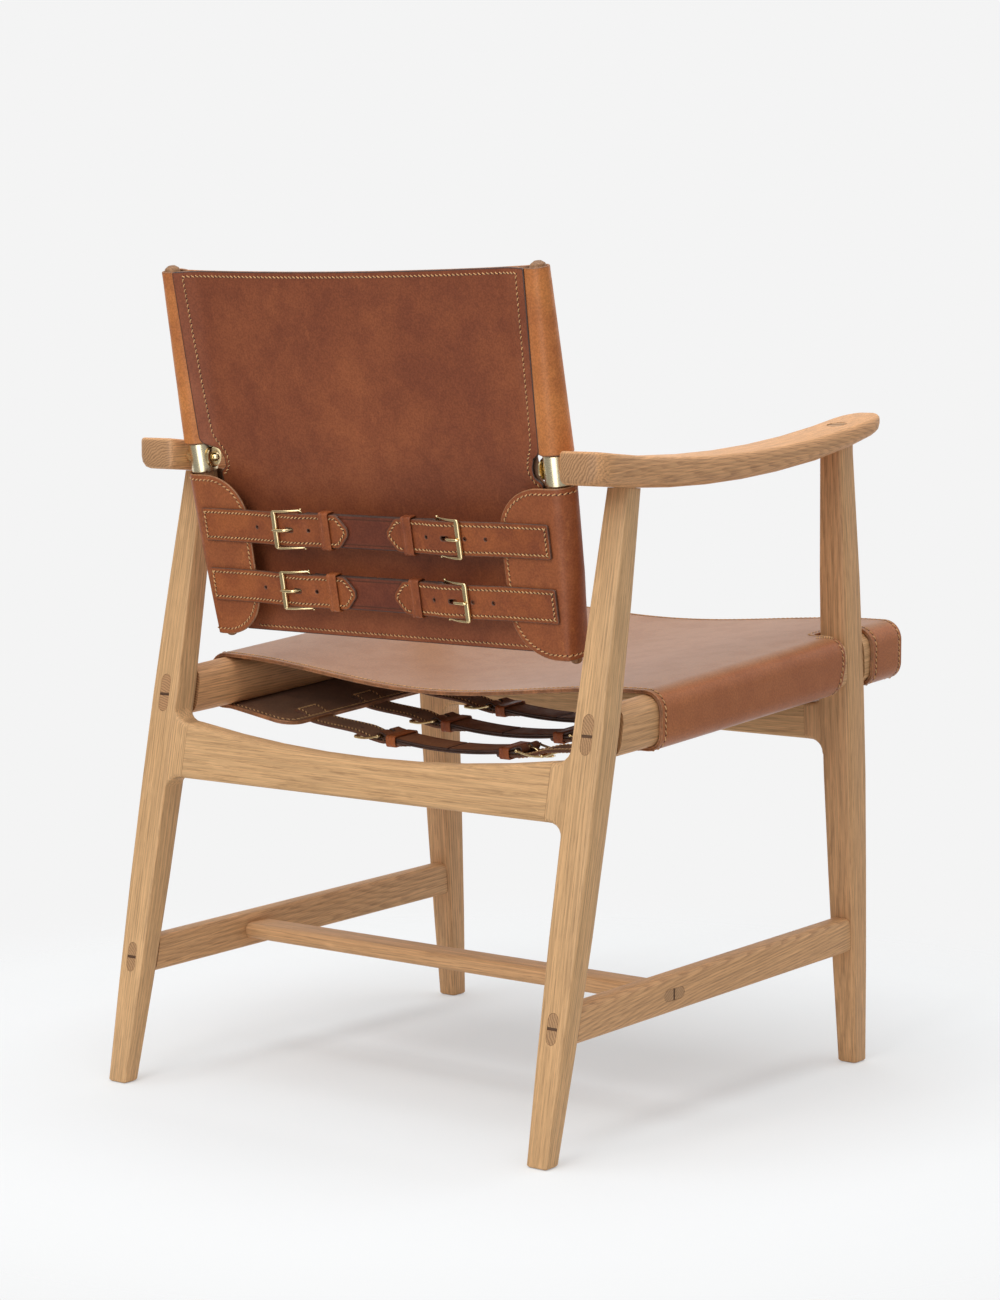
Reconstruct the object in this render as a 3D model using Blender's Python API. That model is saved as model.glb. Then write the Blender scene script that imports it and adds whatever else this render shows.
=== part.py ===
"""Hunting chair in oak and saddle leather, with a tilting back on brass bolts.

The chair faces -Y, the sitter's left hand is at +X and up is +Z. The origin lies on the floor in the
middle of the plan. Everything is in metres.
"""

import math

import bmesh
import bpy
from mathutils import Vector

MM = 0.001

# Fits
GAP = 0.3 * MM                  # between pieces that touch
OVERLAP = 1.0 * MM              # how far joined solids reach into each other
CUTTER_REACH = 10 * MM          # how far a cutter stands out of what it cuts

# Plan and legs
PLAN_DEPTH = 587 * MM           # front edge of the seat leather to back of the rear feet
LEG_SPREAD = 264 * MM           # middle of the chair to the centre of each leg
REAR_RAKE = 0.1987              # lean of the rear leg's back face, per unit of height
FRONT_FOOT_INSET = 53.5 * MM    # front edge of the seat leather to the centre of the front foot
FRONT_FOOT_Y = FRONT_FOOT_INSET - PLAN_DEPTH / 2
FRONT_RAKE = 0.068              # lean of the front leg's centre line, per unit of height
REAR_BOW = 1.7 * MM             # the rear leg's back face swells this much at mid height
FOOT_CHAMFER = 2 * MM
STRETCHER_LEVEL = 100 * MM      # just under the side stretchers
CALF_LEVEL = 200 * MM
THIGH_LEVEL = 300 * MM
RAIL_LEVEL = 385 * MM           # middle of the side rails, where the legs are stoutest
SHOULDER_LEVEL = 500 * MM
LEG_TOP_LEVEL = 625 * MM
LEG_WIDE = 33.5 * MM            # across the chair at the side rails
REAR_LEG_DEEP = 32 * MM         # fore and aft there
FRONT_LEG_DEEP = 33.5 * MM
WIDE_SHARES = (0.67, 0.84, 0.96, 1.0, 1.0, 0.88, 0.69)    # of LEG_WIDE, from foot to armrest
REAR_DEEP_SHARES = (0.66, 0.81, 0.92, 0.98, 1.0, 0.9, 0.71)
FRONT_SHARES = (0.64, 0.79, 0.9, 0.985, 1.0, 0.93, 0.76)
REAR_LEG_BACK_EDGE = 2.5 * MM   # rounding of the rear leg's two back edges
REAR_LEG_FRONT_EDGE = 8.5 * MM
FRONT_LEG_EDGE = 4.5 * MM

# Cross rails and their ears on the legs
CROSS_RAIL_THICK = 25 * MM
CROSS_RAIL_EDGE = 5 * MM
CROSS_RAIL_INSET = 0.5 * MM     # step from the leg's face to the rail's face
EAR_REACH = 36.5 * MM           # leg centre to the joint with the cross rail
REAR_RAIL_BOTTOM = 303 * MM
REAR_RAIL_END_HEIGHT = 54 * MM
REAR_RAIL_MIDDLE_HEIGHT = 37.5 * MM
FRONT_RAIL_BOTTOM = 334.5 * MM
FRONT_RAIL_END_HEIGHT = 38.5 * MM
FRONT_RAIL_MIDDLE_HEIGHT = 34 * MM
EAR_UPPER_FILLET = 19 * MM
EAR_LOWER_FILLET = 16 * MM
FRONT_EAR_FILLET = 13 * MM
CROSS_TENON_THICK = 10 * MM
CROSS_TENON_LENGTH = 20 * MM
CROSS_TENON_EDGE = 2 * MM
CROSS_TENON_SHOULDER = 7 * MM   # height left above and below the tenon

# Side rails that carry the seat
SIDE_RAIL_WIDE = 33 * MM
SIDE_RAIL_REAR_TOP = 409 * MM   # top of the rail at the rear leg
SIDE_RAIL_TOP_SLOPE = 0.081     # rise towards the front, per unit of depth
SIDE_RAIL_REAR_DEEP = 48 * MM
SIDE_RAIL_FRONT_DEEP = 51.5 * MM
SIDE_RAIL_TOP_ROUND = 15.5 * MM
SIDE_RAIL_BOTTOM_ROUND = 12.5 * MM
SIDE_RAIL_END_ROUND = 3 * MM
RAIL_TENON_THICK = 12 * MM
RAIL_TENON_TALL = 36.5 * MM
RAIL_WEDGE_DROP = 1.5 * MM      # the wedge sits this far below the tenon's middle

# Stretchers
STRETCHER_THICK = 22 * MM
STRETCHER_TALL = 35 * MM
STRETCHER_RISE = 0.025          # rise of the side stretchers towards the front
STRETCHER_EDGE = 6 * MM
STRETCHER_REAR_Z = 122.9 * MM   # centre of the side stretcher at the back of the rear leg
STRETCHER_TENON_THICK = 11 * MM
STRETCHER_TENON_TALL = 28.5 * MM
STRETCHER_FRONT_TENON = 18 * MM
CENTRE_STRETCHER_Y = 94.5 * MM
CENTRE_STRETCHER_WIDE = 40 * MM
CENTRE_STRETCHER_THICK = 16 * MM
CENTRE_STRETCHER_EDGE = 6.5 * MM
CENTRE_TENON_WIDE = 33 * MM
CENTRE_TENON_THICK = 11 * MM

# Wedges in the through tenons
WEDGE_THICK = 3.0 * MM
WEDGE_POINT_THICK = 1.4 * MM
WEDGE_DEEP = 15 * MM

# Armrests
ARM_HALF = 25.5 * MM
ARM_REAR_INSET = 61.5 * MM      # back of the rear foot to the armrest's rear end
ARM_REAR_Y = PLAN_DEPTH / 2 - ARM_REAR_INSET
ARM_NOSE_REACH = 17.5 * MM      # armrest's tip ahead of the centre of the front foot
ARM_TIP_Y = FRONT_FOOT_Y - ARM_NOSE_REACH
ARM_LOW_Y = 62.5 * MM           # where the top of the armrest is lowest
ARM_LOW_Z = 632 * MM
ARM_SWEEP_RADIUS = 1562.5 * MM  # of the armrest's top, seen from the side
ARM_REAR_THICK = 30.5 * MM
ARM_THINNING = 0.0175           # loss of thickness towards the front, per unit of length
ARM_NOSE_Y = -117.5 * MM        # from here forward the underside rises to the tip
ARM_NOSE_RADIUS = 1315.8 * MM   # of that rise, seen from the side
ARM_TOP_EDGE = 4 * MM
ARM_OUTER_EDGE = 12 * MM
ARM_INNER_EDGE = 7 * MM
ARM_NOSE_LENGTH = 30 * MM
ARM_REAR_OUTER_CORNER = 17 * MM
ARM_REAR_INNER_CORNER = 8 * MM
LEG_TENON_RADIUS = 10 * MM
REAR_LEG_TENON_LONG = 17 * MM

# Tilting back
PIVOT_INSET = 26.5 * MM         # armrest's rear end to the pivot
PIVOT_Y = ARM_REAR_Y - PIVOT_INSET
PIVOT_Z = 623 * MM
BACK_RAKE = math.radians(11.25)
POST_TO_ARM = 18 * MM           # centre of the post at the pivot to the armrest's inner face
POST_SPREAD = LEG_SPREAD - ARM_HALF - POST_TO_ARM
POST_SPLAY = 0.0251             # spread of the posts per unit of height
POST_TOP = 190.7 * MM           # above the pivot, along the post
POST_BOTTOM = -184 * MM
POST_RADIUS = 11.2 * MM
POST_TOP_RADIUS = 8.0 * MM
POST_BOTTOM_RADIUS = 5.4 * MM
SLEEVE_RADIUS = 13.0 * MM
SLEEVE_WALL = 1.5 * MM
SLEEVE_LONG = 28.6 * MM
BOLT_RADIUS = 3.5 * MM
BOLT_IN_ARM = 22 * MM
BOLT_DISC_RADIUS = 10.5 * MM
BOLT_DISC_THICK = 2.2 * MM
BOLT_CONE_RADIUS = 4.6 * MM
BOLT_CONE_LONG = 6.5 * MM
BOSS_RADIUS = 6 * MM

# Back leather, in the back's own frame: across, rearward, up along the posts
BACK_LAYER = 2.0 * MM
BACK_TOP = 186 * MM
BACK_TOP_DIP = 3 * MM           # the top edge hangs this much lower in the middle
BACK_ROW_SHARES = (0.27, 0.62, 0.82, 1)     # rows of the leather above the bolts, of BACK_TOP
BACK_BOTTOM = -178 * MM
WRAP_FRONT_EXTRA = 1.2 * MM     # the leather stands this much further off the post in front
WRAP_CLEAR = 0.7 * MM           # leather edge to brass sleeve
WRAP_RADIUS_PIVOT = 16.8 * MM   # outside of the leather round the post
WRAP_RADIUS_TOP = 10.4 * MM
WRAP_RADIUS_LOW = 8.0 * MM
FLAP_OUT = 16.0 * MM            # outer face of the rear flaps behind the posts' plane
FLAP_REACH = 63.5 * MM          # centre of the post at the pivot to the rear flap's free edge
FLAP_EDGE_X = POST_SPREAD - FLAP_REACH
FLAP_CORNER_WIDE = 50 * MM
FLAP_CORNER_TALL = 45 * MM
NOTCH_X = POST_SPREAD - 30.5 * MM       # edge of the panel beside the bolt
SEAM_X = POST_SPREAD - 20.5 * MM        # where the post sleeve closes on the panel
PANEL_EDGE_X = POST_SPREAD - 9 * MM     # edge of the rear panel over the post sleeve
PANEL_CROWN = 0.9 * MM          # rise of the panel's edge where it mounts the post sleeve
PANEL_FORWARD = 8 * MM          # the panel lies this far forward below the bolts

# Straps and buckles
STRAP_WIDE = 33 * MM
STRAP_THICK = 2.6 * MM
BELT_THICK = 4.6 * MM
BACK_STRAP_HEIGHTS = (-64.5 * MM, -125.5 * MM)
BACK_BILLET_ROOT_X = POST_SPREAD - 5 * MM
BACK_HEEL_X = FLAP_EDGE_X * 85 / 157
BACK_HEEL_OUT = FLAP_OUT + 1 * MM
BACK_BILLET_TIP_X = BACK_HEEL_X - 60.5 * MM
BACK_KEEPER_X = BACK_HEEL_X - 33.5 * MM
SEAT_HEEL_X = 88 * MM
SEAT_BILLET_TIP_X = SEAT_HEEL_X - 38 * MM
SEAT_HEEL_DROP = 25 * MM        # heel bar below the underside of the side rails
SEAT_BELT_SAG = 7.4 * MM
SEAT_KEEPER_X = SEAT_HEEL_X - 16 * MM
SEAT_STRAP_SHARES = (0.154, 0.4167, 0.6884)   # places between the seat's rear edge and the front rail
BUCKLE_WIRE = 1.75 * MM         # radius of the buckle's wire
BUCKLE_LONG = 29 * MM           # heel bar to outer bar
BUCKLE_RISE = 7.8 * MM          # outer bar above the heel bar
BUCKLE_CORNER = 3 * MM
BUCKLE_SIDE_CLEAR = 0.6 * MM
PRONG_RADIUS = 1.2 * MM
PRONG_EYE = 3.6 * MM            # outer radius of the eye round the heel bar
PRONG_EYE_WIDE = 3.4 * MM
PRONG_FLAT = 8.0 * MM           # heel bar to the start of the prong's rise
PRONG_RISE_END = 15.0 * MM
PRONG_SLOT_LONG = 9.5 * MM
PRONG_SLOT_WIDE = 4.4 * MM
HOLE_PITCH = 23 * MM
HOLE_RADIUS = 1.8 * MM
LOOP_RADIUS = 4.4 * MM          # belt folded round the heel bar
LOOP_TRIM = 1.3 * MM            # the fold is this much narrower than the belt on each side
KEEPER_WIDE = 12 * MM
KEEPER_THICK = 1.8 * MM

# Seat leather
SEAT_LEATHER = 4.0 * MM
SEAT_REAR_INSET = 163 * MM      # back of the rear foot to the rear edge of the seat leather
SEAT_REAR_Y = PLAN_DEPTH / 2 - SEAT_REAR_INSET
SEAT_REAR_SAG = 19 * MM
SEAT_FRONT_SAG = 13.5 * MM
SEAT_RAIL_SHORT = 4 * MM        # the rail ends this far behind the leather's front edge
UNDER_FLAP_REACH = 89 * MM      # leg's centre to the free edge of each under-flap
UNDER_FLAP_X = LEG_SPREAD - UNDER_FLAP_REACH
UNDER_FLAP_DROP = 13 * MM
UNDER_FLAP_CORNER = 16 * MM
LEG_SLOT_CLEAR = 9.5 * MM       # leather edge to the front leg, fore and aft
LEG_SLOT_TOP = 1.5 * MM         # leather edge to the leg's inner face, on top of the seat
LEG_SLOT_UNDER = 7 * MM         # and under the rail

OAK = ("oak", (0.55, 0.36, 0.19), 0.55, 0.0)
OAK_END = ("oak_end_grain", (0.30, 0.18, 0.10), 0.6, 0.0)
LEATHER = ("saddle_leather", (0.32, 0.12, 0.045), 0.5, 0.0)
BELT_LEATHER = ("belt_leather", (0.16, 0.06, 0.035), 0.5, 0.0)
BRASS = ("brass", (0.72, 0.53, 0.25), 0.28, 1.0)


# Helpers

def clear_scene():
    """Remove whatever objects the file opened with."""
    for old in list(bpy.data.objects):
        bpy.data.objects.remove(old, do_unlink=True)


def material(spec):
    """The Principled material of a (name, colour, roughness, metallic) entry."""
    name, colour, roughness, metallic = spec
    made = bpy.data.materials.get(name)
    if made is None:
        made = bpy.data.materials.new(name)
        made.use_nodes = True
        shader = made.node_tree.nodes["Principled BSDF"]
        shader.inputs["Base Color"].default_value = (*colour, 1.0)
        shader.inputs["Roughness"].default_value = roughness
        shader.inputs["Metallic"].default_value = metallic
    return made


def object_from(name, mesh_maker, spec, parent=None):
    """Object whose mesh is what mesh_maker fills into a new bmesh, facing out."""
    made = bmesh.new()
    mesh_maker(made)
    bmesh.ops.recalc_face_normals(made, faces=made.faces)
    mesh = bpy.data.meshes.new(name)
    made.to_mesh(mesh)
    made.free()
    mesh.shade_smooth()
    mesh.set_sharp_from_angle(angle=math.radians(35))
    obj = bpy.data.objects.new(name, mesh)
    bpy.context.scene.collection.objects.link(obj)
    obj.data.materials.append(material(spec))
    if parent is not None:
        obj.parent = parent
    return obj


def hide_cutter(obj):
    """Mark an object as a tool that shapes another one."""
    obj.hide_render = True
    obj.display_type = "WIRE"


def combine(obj, tool, operation):
    """Cut the tool out of the object, or join it on."""
    hide_cutter(tool)
    step = obj.modifiers.new(tool.name, "BOOLEAN")
    step.operation = operation
    step.solver = "EXACT"
    step.object = tool


def cut(obj, tool):
    """Take the tool's volume out of the object."""
    combine(obj, tool, "DIFFERENCE")


def join(obj, tool):
    """Join the tool's volume to the object."""
    combine(obj, tool, "UNION")


def between(low, high, share):
    """Value that lies this share of the way from low to high."""
    return low + (high - low) * share


def ease(value, low, high):
    """Smooth step from 0 at low to 1 at high."""
    share = min(max((value - low) / (high - low), 0.0), 1.0)
    return share * share * (3 - 2 * share)


def stations(start, end, count):
    """Evenly spaced values from start to end."""
    return [between(start, end, i / (count - 1)) for i in range(count)]


def along(table, value):
    """Straight-line reading of a table of (place, size) pairs."""
    if value <= table[0][0]:
        return table[0][1]
    for (low, low_size), (high, high_size) in zip(table, table[1:]):
        if value <= high:
            return between(low_size, high_size, (value - low) / (high - low))
    return table[-1][1]


def rounded(low_a, high_a, low_b, high_b, radii, steps=3):
    """Outline of a rectangle with its own radius at each corner.

    The corners are (high a, low b), (high a, high b), (low a, high b), (low a, low b).
    """
    half = min(high_a - low_a, high_b - low_b) / 2
    corners = ((high_a, low_b, -90), (high_a, high_b, 0), (low_a, high_b, 90), (low_a, low_b, 180))
    points = []
    for (a, b, start), radius in zip(corners, radii):
        r = min(radius, half * 0.999)
        centre_a = a - r if a == high_a else a + r
        centre_b = b - r if b == high_b else b + r
        for i in range(steps + 1):
            turn = math.radians(start + 90 * i / steps)
            points.append((centre_a + r * math.cos(turn), centre_b + r * math.sin(turn)))
    return points


def loft(rings):
    """Mesh maker that skins rings of points and closes both ends."""
    def make(mesh):
        rows = [[mesh.verts.new(p) for p in ring] for ring in rings]
        count = len(rows[0])
        for here, there in zip(rows, rows[1:]):
            for i in range(count):
                j = (i + 1) % count
                mesh.faces.new((here[i], here[j], there[j], there[i]))
        mesh.faces.new(rows[0])
        mesh.faces.new(rows[-1])
    return make


def closed_tube(rings):
    """Mesh maker that skins rings of points into an endless tube."""
    def make(mesh):
        rows = [[mesh.verts.new(p) for p in ring] for ring in rings]
        count = len(rows[0])
        for k, here in enumerate(rows):
            there = rows[(k + 1) % len(rows)]
            for i in range(count):
                j = (i + 1) % count
                mesh.faces.new((here[i], here[j], there[j], there[i]))
    return make


def thick_sheet(grid, kept, thickness):
    """Mesh maker for a sheet of even thickness over a grid of middle points.

    kept(row, column) says whether the cell there is leather or an opening.
    """
    rows, columns = len(grid), len(grid[0])

    def normal(i, j):
        along_row = grid[i][min(j + 1, columns - 1)] - grid[i][max(j - 1, 0)]
        across = grid[min(i + 1, rows - 1)][j] - grid[max(i - 1, 0)][j]
        return along_row.cross(across).normalized()

    def make(mesh):
        faces = {}
        for side in (-1, 1):
            for i in range(rows):
                for j in range(columns):
                    faces[side, i, j] = grid[i][j] + normal(i, j) * (side * thickness / 2)
        used = {}

        def vert(side, i, j):
            key = (side, i, j)
            if key not in used:
                used[key] = mesh.verts.new(faces[key])
            return used[key]

        def cell(i, j):
            inside = 0 <= i < rows - 1 and 0 <= j < columns - 1
            return inside and kept(i, j)

        for i in range(rows - 1):
            for j in range(columns - 1):
                if not cell(i, j):
                    continue
                corners = ((i, j), (i, j + 1), (i + 1, j + 1), (i + 1, j))
                mesh.faces.new([vert(1, *c) for c in corners])
                mesh.faces.new([vert(-1, *c) for c in reversed(corners)])
                neighbours = ((i - 1, j), (i, j + 1), (i + 1, j), (i, j - 1))
                for k, beside in enumerate(neighbours):
                    if not cell(*beside):
                        a, b = corners[k], corners[(k + 1) % 4]
                        mesh.faces.new((vert(1, *a), vert(-1, *a), vert(-1, *b), vert(1, *b)))
    return make


def turned(profile, sides, direction="Z", centre=(0, 0, 0)):
    """Mesh maker for a turned solid: (place along the axis, radius) pairs with closed ends."""
    rings = []
    for place, radius in profile:
        ring = []
        for i in range(sides):
            turn = 2 * math.pi * i / sides
            a, b = radius * math.cos(turn), radius * math.sin(turn)
            point = Vector((a, b, place)) if direction == "Z" else Vector((place, a, b))
            ring.append(point + Vector(centre))
        rings.append(ring)
    return loft(rings)


def tube_between(inner, outer, low, high, sides, direction="Z", centre=(0, 0, 0)):
    """Mesh maker for a straight tube with square ends."""
    rings = []
    for place, radius in ((low, outer), (high, outer), (high, inner), (low, inner)):
        ring = []
        for i in range(sides):
            turn = 2 * math.pi * i / sides
            a, b = radius * math.cos(turn), radius * math.sin(turn)
            point = Vector((a, b, place)) if direction == "Z" else Vector((place, a, b))
            ring.append(point + Vector(centre))
        rings.append(ring)
    return closed_tube(rings)


def box(low, high):
    """Mesh maker for an upright box between two corners."""
    ring = ((low[0], low[1]), (high[0], low[1]), (high[0], high[1]), (low[0], high[1]))
    return loft([[Vector((x, y, z)) for x, y in ring] for z in (low[2], high[2])])


def side_name(name, side):
    """Name of a piece that comes in pairs: +1 is the sitter's left."""
    return f"{name}_{'left' if side > 0 else 'right'}"


# Legs

LEG_LEVELS = (0.0, STRETCHER_LEVEL, CALF_LEVEL, THIGH_LEVEL, RAIL_LEVEL, SHOULDER_LEVEL, LEG_TOP_LEVEL)


def leg_size(size, shares, z):
    """Size of a leg's section at a height, from its size at the side rails."""
    return along([(level, size * share) for level, share in zip(LEG_LEVELS, shares)], z)


def rear_back(z):
    """Back face of the rear leg."""
    swell = REAR_BOW * math.sin(math.pi * min(max(z / LEG_TOP_LEVEL, 0.0), 1.0))
    return PLAN_DEPTH / 2 - REAR_RAKE * (z - FOOT_CHAMFER) + swell


def rear_front(z):
    """Front face of the rear leg."""
    return rear_back(z) - leg_size(REAR_LEG_DEEP, REAR_DEEP_SHARES, z)


def front_centre(z):
    """Centre line of the front leg."""
    return FRONT_FOOT_Y + FRONT_RAKE * z


def front_back(z):
    """Back face of the front leg."""
    return front_centre(z) + leg_size(FRONT_LEG_DEEP, FRONT_SHARES, z) / 2


def front_front(z):
    """Front face of the front leg."""
    return front_centre(z) - leg_size(FRONT_LEG_DEEP, FRONT_SHARES, z) / 2


class Leg:
    """Faces, width and edge rounding of a leg."""

    def __init__(self, name, back, front, shares, back_edge, front_edge):
        self.name = name
        self.back = back
        self.front = front
        self.shares = shares
        self.back_edge = back_edge
        self.front_edge = front_edge

    def ring(self, side, z, trim=0.0):
        """Level ring of the leg at a height, trimmed all round."""
        share = leg_size(1.0, self.shares, z)
        half = LEG_WIDE * share / 2 - trim
        edges = (self.front_edge, self.back_edge, self.back_edge, self.front_edge)
        radii = [edge * share for edge in edges]
        outline = rounded(-half, half, self.front(z) + trim, self.back(z) - trim, radii)
        return [Vector((side * (LEG_SPREAD + a), b, z)) for a, b in outline]

    def tenon_centre(self, side):
        """Centre of the round tenon at the top of the leg."""
        level = arm_under(self.back(ARM_LOW_Z))
        return Vector((side * LEG_SPREAD, (self.back(level) + self.front(level)) / 2, 0))


REAR = Leg("rear_leg", rear_back, rear_front, WIDE_SHARES, REAR_LEG_BACK_EDGE, REAR_LEG_FRONT_EDGE)
FRONT = Leg("front_leg", front_back, front_front, FRONT_SHARES, FRONT_LEG_EDGE, FRONT_LEG_EDGE)


def tenon_ring(ring, centre, height_at):
    """Round tenon ring with as many points as the leg's ring, at the height given."""
    points = []
    for p in ring:
        away = Vector((p.x - centre.x, p.y - centre.y)).normalized() * LEG_TENON_RADIUS
        y = centre.y + away.y
        points.append(Vector((centre.x + away.x, y, height_at(y))))
    return points


def leg_solid(leg, side, tenon_top):
    """A leg from the floor to its shoulder under the armrest, with a round tenon above."""
    level = arm_under(leg.tenon_centre(side).y)
    rings = [leg.ring(side, 0.0, FOOT_CHAMFER), leg.ring(side, FOOT_CHAMFER * 0.4, FOOT_CHAMFER * 0.35)]
    rings += [leg.ring(side, z) for z in (FOOT_CHAMFER,) + LEG_LEVELS[1:-1] + (level - 2 * ARM_TOP_EDGE,)]
    top = leg.ring(side, level)
    rings.append([Vector((p.x, p.y, arm_under(p.y) - GAP)) for p in top])
    centre = leg.tenon_centre(side)
    rings.append(tenon_ring(top, centre, lambda y: arm_under(y) - GAP))
    rings.append(tenon_ring(top, centre, tenon_top))
    return object_from(side_name(leg.name, side), loft(rings), OAK)


def cross_section(x, side, face, low, high, thick, grow=0.0, edge=CROSS_RAIL_EDGE):
    """Upright ring of a cross rail or ear whose back face follows face(z)."""
    outline = rounded(-grow, thick + grow, low - grow, high + grow, [edge] * 4)
    return [Vector((side * x, face(z) - CROSS_RAIL_INSET - depth, z)) for depth, z in outline]


def ear_solid(name, side, face, bottom, height, upper, lower):
    """Ear of a leg: it flares into the leg's inner face with a fillet above and below."""
    joint_x = LEG_SPREAD - EAR_REACH
    inner_x = LEG_SPREAD - LEG_WIDE / 2 + OVERLAP
    top = bottom + height
    rings = [cross_section(joint_x, side, face, bottom, top, CROSS_RAIL_THICK)]
    for i in range(6):
        turn = math.radians(18 * i)
        x = inner_x - upper * (1 - math.sin(turn))
        low_turn = min((x - (inner_x - lower)) / lower, 1.0)
        drop = lower * (1 - math.sqrt(1 - max(low_turn, 0.0) ** 2))
        rise = upper * (1 - math.cos(turn))
        if x > joint_x + OVERLAP:
            rings.append(cross_section(x, side, face, bottom - drop, top + rise, CROSS_RAIL_THICK))
    last_x = LEG_SPREAD - LEG_WIDE / 4
    rings.append(cross_section(last_x, side, face, bottom - lower, top + upper, CROSS_RAIL_THICK))
    return object_from(name, loft(rings), OAK)


def cross_tenon(x_start, x_end, side, face, bottom, height, grow):
    """Rings of the tenon of a cross rail, or of its mortise when grown."""
    low = bottom + CROSS_TENON_SHOULDER
    high = bottom + height - CROSS_TENON_SHOULDER
    inset = (CROSS_RAIL_THICK - CROSS_TENON_THICK) / 2
    rings = []
    for x in (x_start, x_end):
        rings.append(cross_section(x, side, lambda z: face(z) - inset, low, high,
                                   CROSS_TENON_THICK, grow, CROSS_TENON_EDGE))
    return rings


def cross_rail(name, face, bottom, end_height, middle_height):
    """Rail between two ears, its top edge hollowed towards the middle."""
    joint_x = LEG_SPREAD - EAR_REACH - GAP
    tenon_x = joint_x + CROSS_TENON_LENGTH
    tenon = cross_tenon(tenon_x, joint_x, 1, face, bottom, end_height, 0.0)
    rings = list(tenon)
    for x in stations(joint_x, -joint_x, 9):
        height = between(middle_height, end_height, (x / joint_x) ** 2)
        rings.append(cross_section(x, 1, face, bottom, bottom + height, CROSS_RAIL_THICK))
    rings += reversed(cross_tenon(tenon_x, joint_x, -1, face, bottom, end_height, 0.0))
    return object_from(name, loft(rings), OAK)


def ear_and_mortise(leg, name, side, face, bottom, height, upper, lower):
    """Give a leg its ear and the mortise for the cross rail's tenon."""
    join(leg, ear_solid(f"{name}_ear", side, face, bottom, height, upper, lower))
    joint_x = LEG_SPREAD - EAR_REACH
    rings = cross_tenon(joint_x - 5 * MM, joint_x + CROSS_TENON_LENGTH, side, face, bottom, height, GAP)
    cut(leg, object_from(f"{name}_mortise", loft(rings), OAK))


# Side rails and stretchers

def side_rail_top(y):
    """Top of the side rail at a depth."""
    return SIDE_RAIL_REAR_TOP + SIDE_RAIL_TOP_SLOPE * (rear_front(SIDE_RAIL_REAR_TOP) - y)


def side_rail_bottom(y):
    """Underside of the side rail at a depth."""
    rear = rear_front(SIDE_RAIL_REAR_TOP)
    front = -PLAN_DEPTH / 2
    share = (rear - y) / (rear - front)
    return side_rail_top(y) - between(SIDE_RAIL_REAR_DEEP, SIDE_RAIL_FRONT_DEEP, share)


def side_rail_ring(y_at, y, trim=0.0, grow=0.0, stop_x=None):
    """Ring of the side rail; y_at(z) may slant it, and stop_x ends it short of its outer face."""
    half = SIDE_RAIL_WIDE / 2 + grow - trim
    radii = [SIDE_RAIL_BOTTOM_ROUND, SIDE_RAIL_TOP_ROUND, SIDE_RAIL_TOP_ROUND, SIDE_RAIL_BOTTOM_ROUND]
    bottom, top = side_rail_bottom(y) - grow + trim, side_rail_top(y) + grow - trim
    outline = rounded(-half, half, bottom, top, radii)
    if stop_x is not None:
        outline = [(min(a, stop_x), z) for a, z in outline]
    return [(a, y_at(z), z) for a, z in outline]


def placed(ring, side):
    """Ring of (offset from the leg's centre, y, z) put on one side of the chair."""
    return [Vector((side * (LEG_SPREAD + a), y, z)) for a, y, z in ring]


def rail_tenon_ring(y_at, grow=0.0):
    """Ring of the side rail's through tenon; y_at(z) slants it to a face of the leg."""
    y = rear_front(SIDE_RAIL_REAR_TOP)
    middle = (side_rail_top(y) + side_rail_bottom(y)) / 2
    half, tall = RAIL_TENON_THICK / 2 + grow, RAIL_TENON_TALL / 2 + grow
    outline = rounded(-half, half, middle - tall, middle + tall, [half] * 4)
    return [(a, y_at(z), z) for a, z in outline]


def wedge_rings(face, slope, z, half_wide, grow, proud):
    """Rings of a wedge driven in from a leg's back face at height z, pointing forward."""
    rings = []
    for depth, thick in ((-proud, WEDGE_THICK), (WEDGE_DEEP + 2 * grow, WEDGE_POINT_THICK)):
        half = thick / 2 + grow
        y, mid = face - depth, z + slope * depth
        rings.append([(-half_wide, y, mid - half), (half_wide, y, mid - half),
                      (half_wide, y, mid + half), (-half_wide, y, mid + half)])
    return rings


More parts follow.
